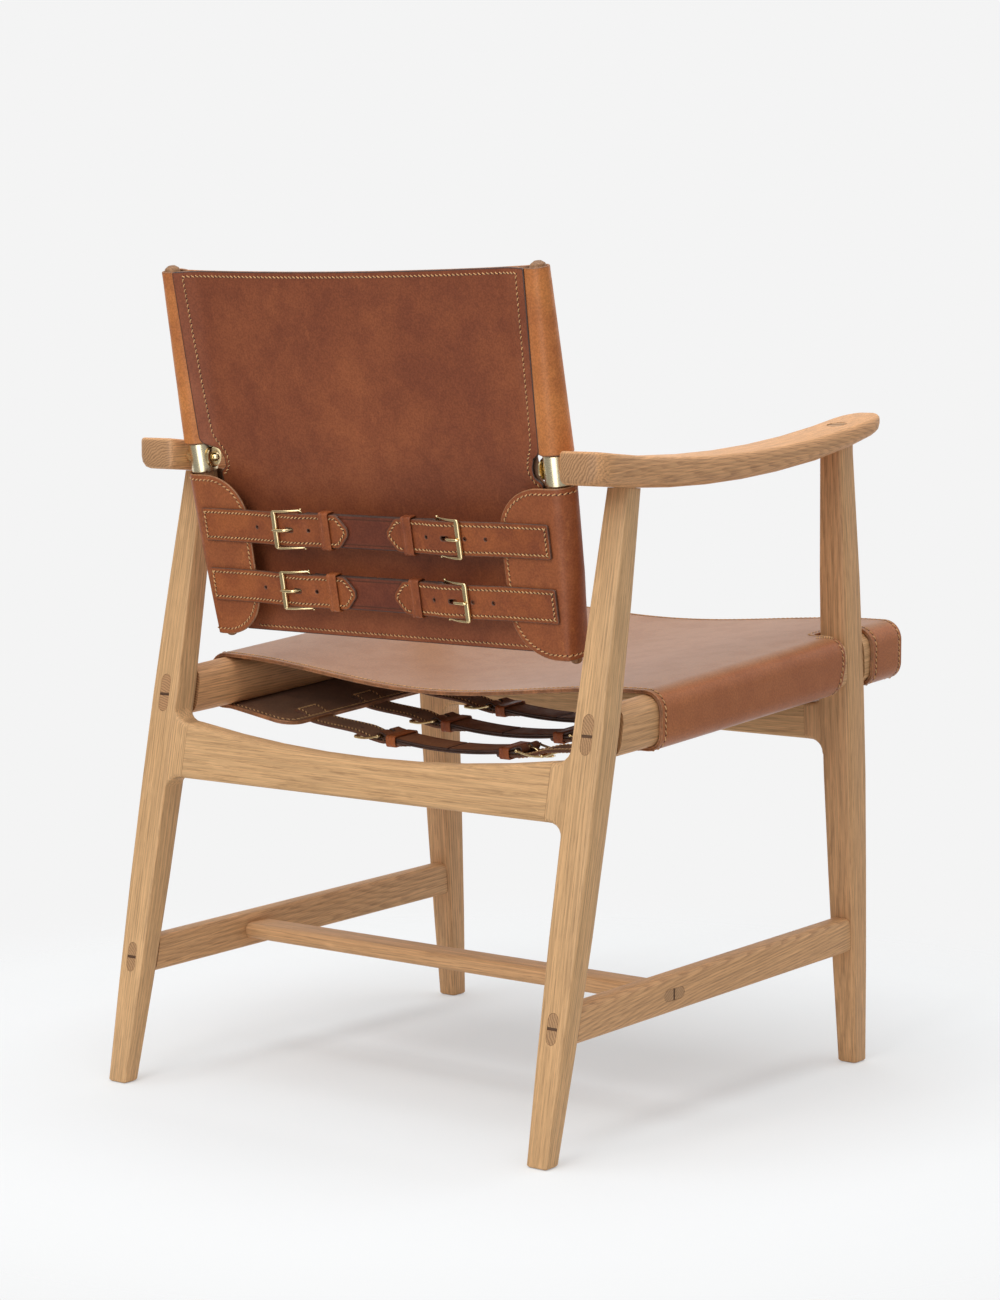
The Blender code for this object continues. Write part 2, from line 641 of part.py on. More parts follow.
def side_rail(side):
    """Side rail: wedged through the rear leg and lapped across the front leg."""
    name = side_name("side_rail", side)
    rear = rear_front(SIDE_RAIL_REAR_TOP)
    front = -PLAN_DEPTH / 2 + SEAT_RAIL_SHORT
    rings = [rail_tenon_ring(lambda z: rear_back(z) - GAP / 2)]
    rings.append(rail_tenon_ring(lambda z: rear_front(z) - GAP))
    rings.append(side_rail_ring(lambda z: rear_front(z) - GAP, rear))
    for y in stations(rear - 30 * MM, front + SIDE_RAIL_END_ROUND, 6):
        rings.append(side_rail_ring(lambda z, y=y: y, y))
    ease_in = SIDE_RAIL_END_ROUND * 0.3
    rings.append(side_rail_ring(lambda z: front + ease_in, front, ease_in))
    rings.append(side_rail_ring(lambda z: front, front, SIDE_RAIL_END_ROUND))
    rail = object_from(name, loft([placed(r, side) for r in rings]), OAK)

    low = side_rail_bottom(front_centre(RAIL_LEVEL)) - 10 * MM
    high = side_rail_top(front_centre(RAIL_LEVEL)) + 15 * MM
    notch = []
    for z in sorted((low, RAIL_LEVEL, high)):
        y_front, y_back = front_front(z) - GAP, front_back(z) + GAP
        wide = SIDE_RAIL_WIDE
        notch.append([(-GAP / 2, y_front, z), (wide, y_front, z), (wide, y_back, z), (-GAP / 2, y_back, z)])
    cut(rail, object_from(f"{name}_lap", loft([placed(r, side) for r in notch]), OAK))

    middle = (side_rail_top(rear) + side_rail_bottom(rear)) / 2 - RAIL_WEDGE_DROP
    slot = wedge_rings(rear_back(middle), 0.0, middle, SIDE_RAIL_WIDE / 2, GAP / 2, 2 * WEDGE_THICK)
    cut(rail, object_from(f"{name}_slot", loft([placed(r, side) for r in slot]), OAK))
    wedge = wedge_rings(rear_back(middle) - GAP, 0.0, middle, RAIL_TENON_THICK / 2, -GAP / 2, 0.0)
    object_from(side_name("rail_wedge", side), loft([placed(r, side) for r in wedge]), OAK_END)
    return rail


def stretcher_middle(y):
    """Height of the side stretcher's centre line at a depth."""
    return STRETCHER_REAR_Z + STRETCHER_RISE * (rear_back(STRETCHER_REAR_Z) - y)


def stretcher_ring(y_at, y, half_wide, half_tall, radius):
    """Ring of a side stretcher or of its tenons."""
    middle = stretcher_middle(y)
    outline = rounded(-half_wide, half_wide, middle - half_tall, middle + half_tall, [radius] * 4)
    return [(a, y_at(z), z) for a, z in outline]


def stretcher_tenon(y_at, y, grow=0.0):
    """Ring of a side stretcher's tenon, or of its mortise when grown."""
    half = STRETCHER_TENON_THICK / 2 + grow
    return stretcher_ring(y_at, y, half, STRETCHER_TENON_TALL / 2 + grow, half)


def side_stretcher(side):
    """Side stretcher: wedged through the rear leg, blind in the front leg."""
    name = side_name("side_stretcher", side)
    rear, front = rear_front(STRETCHER_REAR_Z), front_back(STRETCHER_LEVEL)
    wide, tall = STRETCHER_THICK / 2, STRETCHER_TALL / 2
    rings = [stretcher_tenon(lambda z: rear_back(z) - GAP / 2, rear)]
    rings.append(stretcher_tenon(lambda z: rear_front(z) - GAP, rear))
    rings.append(stretcher_ring(lambda z: rear_front(z) - GAP, rear, wide, tall, STRETCHER_EDGE))
    for y in stations(rear - 40 * MM, front + 40 * MM, 3):
        rings.append(stretcher_ring(lambda z, y=y: y, y, wide, tall, STRETCHER_EDGE))
    rings.append(stretcher_ring(lambda z: front_back(z) + GAP, front, wide, tall, STRETCHER_EDGE))
    rings.append(stretcher_tenon(lambda z: front_back(z) + GAP, front))
    rings.append(stretcher_tenon(lambda z: front_back(z) - STRETCHER_FRONT_TENON, front))
    stretcher = object_from(name, loft([placed(r, side) for r in rings]), OAK)

    middle = stretcher_middle(rear)
    slot = wedge_rings(rear_back(middle), 0.0, middle, STRETCHER_THICK / 2, GAP / 2, 2 * WEDGE_THICK)
    cut(stretcher, object_from(f"{name}_slot", loft([placed(r, side) for r in slot]), OAK))
    half = STRETCHER_TENON_THICK / 2
    wedge = wedge_rings(rear_back(middle) - GAP, 0.0, middle, half, -GAP / 2, 0.0)
    object_from(side_name("stretcher_wedge", side), loft([placed(r, side) for r in wedge]), OAK_END)

    centre_mortise = centre_tenon(side, LEG_SPREAD - STRETCHER_THICK, LEG_SPREAD + STRETCHER_THICK, GAP)
    cut(stretcher, object_from(f"{name}_centre_mortise", loft(centre_mortise), OAK))
    return stretcher


def centre_tenon(side, x_start, x_end, grow):
    """Rings of the centre stretcher's through tenon, or of its mortise when grown."""
    z = stretcher_middle(CENTRE_STRETCHER_Y)
    wide, thick = CENTRE_TENON_WIDE / 2 + grow, CENTRE_TENON_THICK / 2 + grow
    low_y, high_y = CENTRE_STRETCHER_Y - wide, CENTRE_STRETCHER_Y + wide
    outline = rounded(low_y, high_y, z - thick, z + thick, [thick] * 4)
    return [[Vector((side * x, y, height)) for y, height in outline] for x in (x_start, x_end)]


def centre_stretcher():
    """Flat stretcher between the side stretchers, wedged through both."""
    inner = LEG_SPREAD - STRETCHER_THICK / 2 - GAP
    outer = LEG_SPREAD + STRETCHER_THICK / 2 - GAP / 2
    z = stretcher_middle(CENTRE_STRETCHER_Y)
    wide, thick = CENTRE_STRETCHER_WIDE / 2, CENTRE_STRETCHER_THICK / 2
    rings = list(reversed(centre_tenon(1, inner, outer, 0.0)))
    for x in stations(inner, -inner, 3):
        outline = rounded(CENTRE_STRETCHER_Y - wide, CENTRE_STRETCHER_Y + wide, z - thick, z + thick,
                          [CENTRE_STRETCHER_EDGE] * 4)
        rings.append([Vector((x, y, height)) for y, height in outline])
    rings += centre_tenon(-1, inner, outer, 0.0)
    stretcher = object_from("centre_stretcher", loft(rings), OAK)
    for side in (1, -1):
        slot = centre_wedge_rings(side, outer, CENTRE_STRETCHER_THICK / 2, GAP / 2, 2 * WEDGE_THICK)
        cut(stretcher, object_from(f"centre_slot_{side}", loft(slot), OAK))
        wedge = centre_wedge_rings(side, outer - GAP, CENTRE_TENON_THICK / 2, -GAP / 2, 0.0)
        object_from(side_name("centre_wedge", side), loft(wedge), OAK_END)
    return stretcher


def centre_wedge_rings(side, start, half_tall, grow, proud):
    """Rings of the upright wedge driven into an end of the centre stretcher."""
    z = stretcher_middle(CENTRE_STRETCHER_Y)
    rings = []
    for depth, wide in ((-proud, WEDGE_THICK), (WEDGE_DEEP + 2 * grow, WEDGE_POINT_THICK)):
        half = wide / 2 + grow
        x = side * (start - depth)
        ring = ((-half, -half_tall), (half, -half_tall), (half, half_tall), (-half, half_tall))
        rings.append([Vector((x, CENTRE_STRETCHER_Y + a, z + b)) for a, b in ring])
    return rings


# Armrests

def arm_top(y):
    """Top of the armrest at a depth."""
    return ARM_LOW_Z + (y - ARM_LOW_Y) ** 2 / (2 * ARM_SWEEP_RADIUS)


def arm_under(y):
    """Underside of the armrest at a depth."""
    thick = ARM_REAR_THICK - ARM_THINNING * (ARM_REAR_Y - y)
    thick -= max(ARM_NOSE_Y - y, 0.0) ** 2 / (2 * ARM_NOSE_RADIUS)
    return arm_top(y) - thick


def corner_loss(distance, radius):
    """How far a rounded corner draws in at this distance from the end."""
    inside = max(radius - distance, 0.0)
    return radius - math.sqrt(max(radius * radius - inside * inside, 0.0))


def arm_ring(y):
    """Upright ring of the armrest, drawn in near its rounded ends."""
    from_rear, from_tip = ARM_REAR_Y - y, y - ARM_TIP_Y
    nose = math.sqrt(max(1 - max(1 - from_tip / ARM_NOSE_LENGTH, 0.0) ** 2, 0.0))
    inner = ARM_HALF * nose - corner_loss(from_rear, ARM_REAR_INNER_CORNER)
    outer = ARM_HALF * nose - corner_loss(from_rear, ARM_REAR_OUTER_CORNER)
    edge = corner_loss(min(from_rear, from_tip), ARM_TOP_EDGE)
    low, high = arm_under(y) + edge, arm_top(y) - edge
    outer_edge = min(ARM_OUTER_EDGE, outer * 0.9)
    radii = [outer_edge, ARM_TOP_EDGE, ARM_TOP_EDGE, ARM_INNER_EDGE]
    return [(a, y, z) for a, z in rounded(-inner, outer, low, high, radii)]


def armrest(side):
    """Armrest with its leg mortises and the blind hole for the pivot bolt."""
    name = side_name("armrest", side)
    rear_steps = (0.0, 0.5, 2, 4, 8, 14, 24)
    nose_steps = (0.15, 0.6, 1.5, 3, 6, 11, 18, 30)
    ys = [ARM_REAR_Y - s * MM for s in rear_steps]
    ys += stations(ARM_REAR_Y - 60 * MM, ARM_TIP_Y + 70 * MM, 7)
    ys += [ARM_TIP_Y + s * MM for s in reversed(nose_steps)]
    arm = object_from(name, loft([placed(arm_ring(y), side) for y in ys]), OAK)
    rear, front = REAR.tenon_centre(side), FRONT.tenon_centre(side)
    low = arm_under(rear.y)
    rear_hole = (low - CUTTER_REACH, low + REAR_LEG_TENON_LONG + OVERLAP)
    front_hole = (arm_under(front.y) - CUTTER_REACH, arm_top(front.y) + CUTTER_REACH)
    inner = LEG_SPREAD - ARM_HALF
    bolt_hole = (side * (inner - CUTTER_REACH), side * (inner + BOLT_IN_ARM + GAP))
    for what, span, radius, sides, direction, centre in (
            ("rear_mortise", rear_hole, LEG_TENON_RADIUS, 16, "Z", (rear.x, rear.y, 0)),
            ("front_mortise", front_hole, LEG_TENON_RADIUS, 16, "Z", (front.x, front.y, 0)),
            ("bolt_hole", bolt_hole, BOLT_RADIUS, 12, "X", (0, PIVOT_Y, PIVOT_Z))):
        profile = [(place, radius + GAP) for place in span]
        cut(arm, object_from(f"{name}_{what}", turned(profile, sides, direction, centre), OAK))
    return arm


def rear_leg(side):
    """Rear leg with its ear and mortises."""
    tenon_top = arm_under(REAR.tenon_centre(side).y) + REAR_LEG_TENON_LONG
    leg = leg_solid(REAR, side, lambda y: tenon_top)
    name = leg.name
    ear_and_mortise(leg, name, side, rear_back, REAR_RAIL_BOTTOM, REAR_RAIL_END_HEIGHT,
                    EAR_UPPER_FILLET, EAR_LOWER_FILLET)
    through = (CUTTER_REACH, -REAR_LEG_DEEP - 2 * CUTTER_REACH)
    rail = [rail_tenon_ring(lambda z, s=s: rear_back(z) + s, GAP) for s in through]
    cut(leg, object_from(f"{name}_rail_mortise", loft([placed(r, side) for r in rail]), OAK))
    rear = rear_front(STRETCHER_REAR_Z)
    low = [stretcher_tenon(lambda z, s=s: rear_back(z) + s, rear, GAP) for s in through]
    cut(leg, object_from(f"{name}_stretcher_mortise", loft([placed(r, side) for r in low]), OAK))
    return leg


def front_leg(side):
    """Front leg with its ear, its mortise and the lap for the side rail."""
    leg = leg_solid(FRONT, side, lambda y: arm_top(y) - GAP / 3)
    name = leg.name
    ear_and_mortise(leg, name, side, front_back, FRONT_RAIL_BOTTOM, FRONT_RAIL_END_HEIGHT,
                    FRONT_EAR_FILLET, EAR_LOWER_FILLET)
    y_mid = front_centre(RAIL_LEVEL)
    reach = SIDE_RAIL_WIDE
    lap = [side_rail_ring(lambda z, y=y: y, y, 0.0, GAP, GAP / 2) for y in (y_mid - reach, y_mid + reach)]
    cut(leg, object_from(f"{name}_lap", loft([placed(r, side) for r in lap]), OAK))
    front = front_back(STRETCHER_LEVEL)
    mortise = [stretcher_tenon(lambda z, s=s: front_back(z) + s, front, GAP)
               for s in (CUTTER_REACH, -STRETCHER_FRONT_TENON - GAP)]
    cut(leg, object_from(f"{name}_stretcher_mortise", loft([placed(r, side) for r in mortise]), OAK))
    slot = arm_wedge_rings(side, 2 * LEG_TENON_RADIUS, GAP / 2, 2 * WEDGE_THICK)
    cut(leg, object_from(f"{name}_slot", loft(slot), OAK))
    wedge = arm_wedge_rings(side, LEG_TENON_RADIUS - 2 * GAP, -GAP / 2, -GAP)
    object_from(side_name("arm_wedge", side), loft(wedge), OAK_END)
    return leg


def arm_wedge_rings(side, half_wide, grow, proud):
    """Rings of the wedge in the front leg's tenon, driven down from the armrest's top."""
    centre = FRONT.tenon_centre(side)
    rings = []
    for depth, thick in ((-proud, WEDGE_THICK), (WEDGE_DEEP + 2 * grow, WEDGE_POINT_THICK)):
        half = thick / 2 + grow
        ring = []
        for a, b in ((-half_wide, -half), (half_wide, -half), (half_wide, half), (-half_wide, half)):
            y = centre.y + b
            ring.append(Vector((centre.x + a, y, arm_top(y) - depth)))
        rings.append(ring)
    return rings


# Tilting back

def back_empty():
    """Empty on the pivot axis, leaning with the posts: its Z runs up the back."""
    empty = bpy.data.objects.new("back_axis", None)
    empty.location = (0, PIVOT_Y, PIVOT_Z)
    empty.rotation_euler = (-BACK_RAKE, 0, 0)
    bpy.context.scene.collection.objects.link(empty)
    return empty


def post_x(w):
    """Centre of the post at a place along the back."""
    return POST_SPREAD + POST_SPLAY * w


def post_rings(side, profile, sides):
    """Level rings round the leaning post's axis from (place, radius) pairs."""
    rings = []
    for w, radius in profile:
        ring = []
        for i in range(sides):
            turn = 2 * math.pi * i / sides
            ring.append(Vector((side * (post_x(w) + radius * math.cos(turn)), radius * math.sin(turn), w)))
        rings.append(ring)
    return rings


def bolt_tool(name, side, parent):
    """Cross hole for the pivot bolt through a post and its sleeve."""
    radius = BOLT_RADIUS + GAP
    profile = ((side * (POST_SPREAD - 25 * MM), radius), (side * (POST_SPREAD + 25 * MM), radius))
    return object_from(name, turned(profile, 12, "X"), BRASS, parent)


def back_post(side, parent):
    """Round post, tapered both ways from the brass sleeve."""
    half = SLEEVE_LONG / 2
    low, top = POST_BOTTOM_RADIUS, POST_TOP_RADIUS
    profile = ((POST_BOTTOM, low * 0.41), (POST_BOTTOM + low * 0.19, low * 0.78),
               (POST_BOTTOM + low * 0.56, low), (-half, POST_RADIUS), (half, POST_RADIUS),
               (POST_TOP - top * 0.75, top), (POST_TOP - top * 0.31, top * 0.86), (POST_TOP, top * 0.4))
    post = object_from(side_name("back_post", side), loft(post_rings(side, profile, 20)), OAK, parent)
    cut(post, bolt_tool(f"{post.name}_hole", side, parent))


def pivot_sleeve(side, parent):
    """Brass sleeve round the post, with the boss that keeps it off the armrest."""
    half = SLEEVE_LONG / 2
    inner = POST_RADIUS + GAP
    edge = 0.6 * MM
    profile = ((-half, inner), (-half, SLEEVE_RADIUS - edge), (-half + edge, SLEEVE_RADIUS),
               (half - edge, SLEEVE_RADIUS), (half, SLEEVE_RADIUS - edge), (half, inner))
    rings = post_rings(side, profile, 18)
    sleeve = object_from(side_name("pivot_sleeve", side), closed_tube(rings), BRASS, parent)
    low, high = POST_SPREAD + POST_RADIUS + 2 * GAP, LEG_SPREAD - ARM_HALF - GAP
    boss = turned(((side * low, BOSS_RADIUS), (side * high, BOSS_RADIUS)), 14, "X")
    join(sleeve, object_from(f"{sleeve.name}_boss", boss, BRASS, parent))
    cut(sleeve, bolt_tool(f"{sleeve.name}_hole", side, parent))


def pivot_bolt(side):
    """Bolt in the armrest: shank, disc against the sleeve and a coned end."""
    disc_face = POST_SPREAD - SLEEVE_RADIUS - GAP
    disc_back = disc_face - BOLT_DISC_THICK
    arm_end = LEG_SPREAD - ARM_HALF + BOLT_IN_ARM
    edge = 0.6 * MM
    profile = ((disc_back - BOLT_CONE_LONG, BOLT_CONE_RADIUS * 0.3),
               (disc_back - 0.6 * BOLT_CONE_LONG, BOLT_CONE_RADIUS * 0.85),
               (disc_back, BOLT_CONE_RADIUS), (disc_back, BOLT_DISC_RADIUS - edge),
               (disc_back + edge, BOLT_DISC_RADIUS), (disc_face, BOLT_DISC_RADIUS),
               (disc_face, BOLT_RADIUS), (arm_end, BOLT_RADIUS))
    shape = [(side * x, radius) for x, radius in profile]
    object_from(side_name("pivot_bolt", side), turned(shape, 16, "X", (0, PIVOT_Y, PIVOT_Z)), BRASS)


def wrap_radius(w):
    """Outside of the leather round the post, across the chair."""
    return along(((BACK_BOTTOM, WRAP_RADIUS_LOW), (BACK_BOTTOM * 0.55, 14.5 * MM),
                  (0, WRAP_RADIUS_PIVOT), (BACK_TOP, WRAP_RADIUS_TOP)), w)


def wrap_depth(w):
    """Outside of the leather round the post, fore and aft."""
    return wrap_radius(w) if w > 0 else FLAP_OUT


def top_dip(x, w):
    """How much lower the back's top edge hangs towards the middle."""
    lowering = BACK_TOP_DIP * ease(w, BACK_TOP * BACK_ROW_SHARES[1], BACK_TOP)
    return max(lowering * (1 - (x / SEAM_X) ** 2), 0.0)


def front_layer(w):
    """Middle of the front layer between the posts: it steps forward below the bolts."""
    return -BACK_LAYER / 4 - PANEL_FORWARD * (1 - ease(w, BACK_BOTTOM / 3, BACK_TOP / 6))


def flap_end(w):
    """Free edge of the rear flap below the bolts: a D outline."""
    top, bottom = -SLEEVE_LONG / 2 - WRAP_CLEAR, BACK_BOTTOM
    near = max(1 - min(top - w, w - bottom) / FLAP_CORNER_TALL, 0.0)
    return FLAP_EDGE_X + FLAP_CORNER_WIDE * (1 - math.sqrt(max(1 - near * near, 0.0)))


def wrap_path(w, upper):
    """Middle line of the back leather on the left half, from the centre out and round the post."""
    depth, radius = wrap_depth(w) - BACK_LAYER / 2, wrap_radius(w) - BACK_LAYER / 2
    front = front_layer(w)
    path = [(NOTCH_X * share, front) for share in (0, 0.35, 0.7, 1)]
    centre = post_x(w)
    path.append((centre - 12 * MM, between(front, -depth, 0.72)))
    for i in range(7):
        turn = math.radians(-90 + 30 * i)
        stand = depth + WRAP_FRONT_EXTRA if i < 3 else depth
        path.append((centre + radius * math.cos(turn), stand * math.sin(turn)))
    end_x = SEAM_X if upper else flap_end(w)
    end_out = front + BACK_LAYER + GAP if upper else depth
    for share in (0.33, 0.66, 1.0):
        out = between(depth, end_out, share)
        path.append((between(centre, end_x, share), out))
    return path


def back_rows():
    """Places along the back where the leather's grid has a row."""
    gap_half = SLEEVE_LONG / 2 + WRAP_CLEAR
    low = BACK_BOTTOM
    rows = [low + s * MM for s in (0, 3, 9, 20, 45)] + [low / 2, low / 3]
    rows += [-gap_half - s * MM for s in (20, 9, 3, 0)]
    rows += [gap_half] + [BACK_TOP * share for share in BACK_ROW_SHARES]
    return rows


def back_leather(parent):
    """Front sheet: it wraps both posts, sewn shut above the bolts and in free flaps below."""
    gap_half = SLEEVE_LONG / 2 + WRAP_CLEAR
    rows = back_rows()
    grid = []
    for w in rows:
        half = wrap_path(w, w > 0)
        line = [(-x, out) for x, out in reversed(half[1:])] + half
        grid.append([Vector((x, out, w - top_dip(x, w))) for x, out in line])
    columns = len(grid[0])
    notch = columns // 2 - 3

    def kept(i, j):
        beside_bolt = abs(rows[i] + rows[i + 1]) < gap_half
        return not beside_bolt or notch <= j < columns - 1 - notch

    object_from("back_leather", thick_sheet(grid, kept, BACK_LAYER), LEATHER, parent)


def panel_path(w, notched):
    """Middle line of the rear panel on the left half."""
    front = front_layer(w)
    lie = front + BACK_LAYER + GAP
    path = [(NOTCH_X * share, lie) for share in (0, 0.35, 0.7)]
    if w > SLEEVE_LONG / 2:
        depth = wrap_depth(w)
        rise = lie + BACK_LAYER + GAP
        top = depth + GAP + BACK_LAYER / 2
        edge = PANEL_EDGE_X + POST_SPLAY * w
        path += [(SEAM_X - 14 * MM, lie), (SEAM_X - 3 * MM, rise + 0.2 * MM)]
        for x in ((SEAM_X + edge) / 2, edge):
            share = (x - SEAM_X) / (post_x(w) - SEAM_X)
            path.append((x, between(rise, top, share) + PANEL_CROWN * math.sin(math.pi * share)))
    else:
        path += [(x, lie) for x in stations(NOTCH_X * 0.8, notched, 4)]
    return path


def back_panel(parent):
    """Rear panel, sewn over the edges of the post sleeves and cut round the bolts."""
    rows = [BACK_BOTTOM * share for share in (1, 0.67, 0.39, 0.22, 0.124)]
    grid = []
    for w in rows:
        half = panel_path(w, NOTCH_X)
        line = [(-x, out) for x, out in reversed(half[1:])] + half
        grid.append([Vector((x, out, w)) for x, out in line])
    for w in (-8 * MM, 6 * MM):
        half = panel_path(w, NOTCH_X - 4 * MM)
        line = [(-x, out) for x, out in reversed(half[1:])] + half
        grid.append([Vector((x, out, w)) for x, out in line])
    gap_half = SLEEVE_LONG / 2 + WRAP_CLEAR
    for w in [gap_half] + [BACK_TOP * share for share in BACK_ROW_SHARES]:
        half = panel_path(w, None)
        line = [(-x, out) for x, out in reversed(half[1:])] + half
        grid.append([Vector((x, out, w - top_dip(x, w))) for x, out in line])
    object_from("back_panel", thick_sheet(grid, lambda i, j: True, BACK_LAYER), LEATHER, parent)


# Straps and buckles, each strap in its own frame: across, outward, along the strap's width

def strap_empty(name, parent, location, rotation):
    """Empty at the middle of a strap: X across the chair, Y outward, Z along its width."""
    empty = bpy.data.objects.new(name, None)
    empty.location = location
    empty.rotation_euler = rotation
    empty.parent = parent
    bpy.context.scene.collection.objects.link(empty)
    return empty


class Strap:
    """Where one strap's pieces lie: heel bars, belt curve and buckle tilt."""

    def __init__(self, heel_x, heel_out, sag):
        self.heel_x = heel_x
        self.heel_out = heel_out
        self.sag = sag
        self.tilt = math.atan2(2 * sag, heel_x)

    def belt_out(self, x):
        """Middle of the belt's thickness at a place across the chair."""
        return self.heel_out + self.sag * (1 - (x / self.heel_x) ** 2)

    def at_buckle(self, along_strap, out):
        """Point given in the buckle's frame: from the heel bar towards the billet's root, and outward."""
        x = self.heel_x + along_strap * math.cos(self.tilt) + out * math.sin(self.tilt)
        return x, self.heel_out - along_strap * math.sin(self.tilt) + out * math.cos(self.tilt)


def ribbon(path, side, half_widths, thick):
    """Rings of a flat strap along a path of (x, outward) points."""
    rings = []
    for k, (x, out) in enumerate(path):
        before, after = path[max(k - 1, 0)], path[min(k + 1, len(path) - 1)]
        run = Vector((after[0] - before[0], after[1] - before[1])).normalized()
        up = Vector((-run.y, run.x)) * (thick / 2)
        half = half_widths[k]
        corners = ((-half, -1), (half, -1), (half, 1), (-half, 1))
        rings.append([Vector((side * (x + s * up.x), out + s * up.y, w)) for w, s in corners])
    return rings


def billet_path(strap, root, keeper_end):
    """Middle line of a billet from its root, under the outer bar, over the heel bar to its tip."""
    lift = LOOP_RADIUS + GAP + STRAP_THICK / 2
    rest = BELT_THICK / 2 + GAP + STRAP_THICK / 2
    bar = BUCKLE_RISE - BUCKLE_WIRE - GAP - STRAP_THICK / 2
    path = list(root)
    path.append(strap.at_buckle(BUCKLE_LONG + 6 * MM, bar - 0.8 * MM))
    path.append(strap.at_buckle(BUCKLE_LONG - 2 * MM, bar - 0.2 * MM))
    path.append(strap.at_buckle(4 * MM, lift))
    path.append(strap.at_buckle(-3 * MM, lift))
    settle = strap.heel_x - 14 * MM
    for x in (settle, between(settle, keeper_end, 0.35), between(settle, keeper_end, 0.7),
              keeper_end + 9 * MM, keeper_end + 4 * MM, keeper_end):
        slope = 2 * strap.sag * x / strap.heel_x ** 2
        stretch = math.sqrt(1 + slope * slope)
        path.append((x + rest * slope / stretch, strap.belt_out(x) + rest / stretch))
    return path


def billet_solid(name, strap, side, root, tip_x, parent, hole_steps):
    """Billet: a flat strap with a rounded tip and punched holes."""
    path = billet_path(strap, root, tip_x)
    half = STRAP_WIDE / 2
    halves = [half] * (len(path) - 2) + [half * 0.72, half * 0.2]
    billet = object_from(name, loft(ribbon(path, side, halves, STRAP_THICK)), LEATHER, parent)
    centre_x, centre_out = strap.at_buckle((PRONG_FLAT + PRONG_RISE_END) / 2, LOOP_RADIUS)
    low, high = centre_out - 12 * MM, centre_out + 12 * MM
    outline = rounded(centre_x - PRONG_SLOT_LONG / 2, centre_x + PRONG_SLOT_LONG / 2,
                      -PRONG_SLOT_WIDE / 2, PRONG_SLOT_WIDE / 2, [PRONG_SLOT_WIDE / 2] * 4, 2)
    slot = [[Vector((side * x, out, w)) for x, w in outline] for out in (low, high)]
    cut(billet, object_from(f"{name}_slot", loft(slot), LEATHER, parent))
    for step in hole_steps:
        ring = []
        for i in range(6):
            turn = 2 * math.pi * i / 6
            x = centre_x + step * HOLE_PITCH + HOLE_RADIUS * math.cos(turn)
            ring.append((side * x, HOLE_RADIUS * math.sin(turn)))
        hole = [[Vector((x, out, w)) for x, w in ring] for out in (low, high)]
        cut(billet, object_from(f"{name}_hole_{step}", loft(hole), LEATHER, parent))
    return billet


def belt_solid(name, strap, keeper_x, parent):
    """Centre belt with a loop round each heel bar and a keeper beside each buckle."""
    start = strap.heel_x - LOOP_RADIUS * 0.55
    path = [(x, strap.belt_out(x)) for x in stations(-start, start, 7)]
    half = STRAP_WIDE / 2
    belt = object_from(name, loft(ribbon(path, 1, [half] * len(path), BELT_THICK)), BELT_LEATHER, parent)
    for side in (1, -1):
        inner = (BUCKLE_WIRE + GAP) / math.cos(math.pi / 6)
        heel = (side * strap.heel_x, strap.heel_out, 0)
        loop = turned(((LOOP_TRIM - half, LOOP_RADIUS), (half - LOOP_TRIM, LOOP_RADIUS)), 8, "Z", heel)
        join(belt, object_from(f"{name}_loop_{side}", loop, BELT_LEATHER, parent))
        bore = turned(((-half - OVERLAP, inner), (half + OVERLAP, inner)), 6, "Z", heel)
        cut(belt, object_from(f"{name}_bore_{side}", bore, BELT_LEATHER, parent))
        half_eye = PRONG_EYE_WIDE / 2 + GAP
        reach = PRONG_EYE + 2 * GAP
        low_x, high_x = sorted((side * (strap.heel_x - reach), side * (strap.heel_x + 3 * LOOP_RADIUS)))
        low_out, high_out = strap.heel_out - 2 * LOOP_RADIUS, strap.heel_out + 2 * LOOP_RADIUS
        eye_slot = box((low_x, low_out, -half_eye), (high_x, high_out, half_eye))
        cut(belt, object_from(f"{name}_eye_slot_{side}", eye_slot, BELT_LEATHER, parent))
        join(belt, keeper(f"{name}_keeper_{side}", strap, side * keeper_x, parent))
    return belt


def keeper(name, strap, x, parent):
    """Loop of leather round belt and billet."""
    out = strap.belt_out(x)
    low = out - BELT_THICK / 2 - KEEPER_THICK / 2
    high = out + BELT_THICK / 2 + STRAP_THICK + 4 * GAP + KEEPER_THICK / 2
    half = STRAP_WIDE / 2 + 2 * GAP + KEEPER_THICK / 2
    corners = ((-half, low), (half, low), (half, high), (-half, high))
    rings = []
    for k, (w, place) in enumerate(corners):
        w_sign, out_sign = (1 if w > 0 else -1), (1 if place == high else -1)
        ring = []
        for along_x, grow in ((-1, -1), (1, -1), (1, 1), (-1, 1)):
            ring.append(Vector((x + along_x * KEEPER_WIDE / 2, place + out_sign * grow * KEEPER_THICK / 2,
                                w + w_sign * grow * KEEPER_THICK / 2)))
        rings.append(ring)
    return object_from(name, closed_tube(rings), BELT_LEATHER, parent)


def wire_ring(centre, run, radius, sides):
    """Ring of points round a wire at a place, square to its run."""
    turn = run.normalized().to_track_quat("Z", "Y")
    points = []
    for i in range(sides):
        angle = 2 * math.pi * i / sides
        points.append(centre + turn @ Vector((radius * math.cos(angle), radius * math.sin(angle), 0)))
    return points


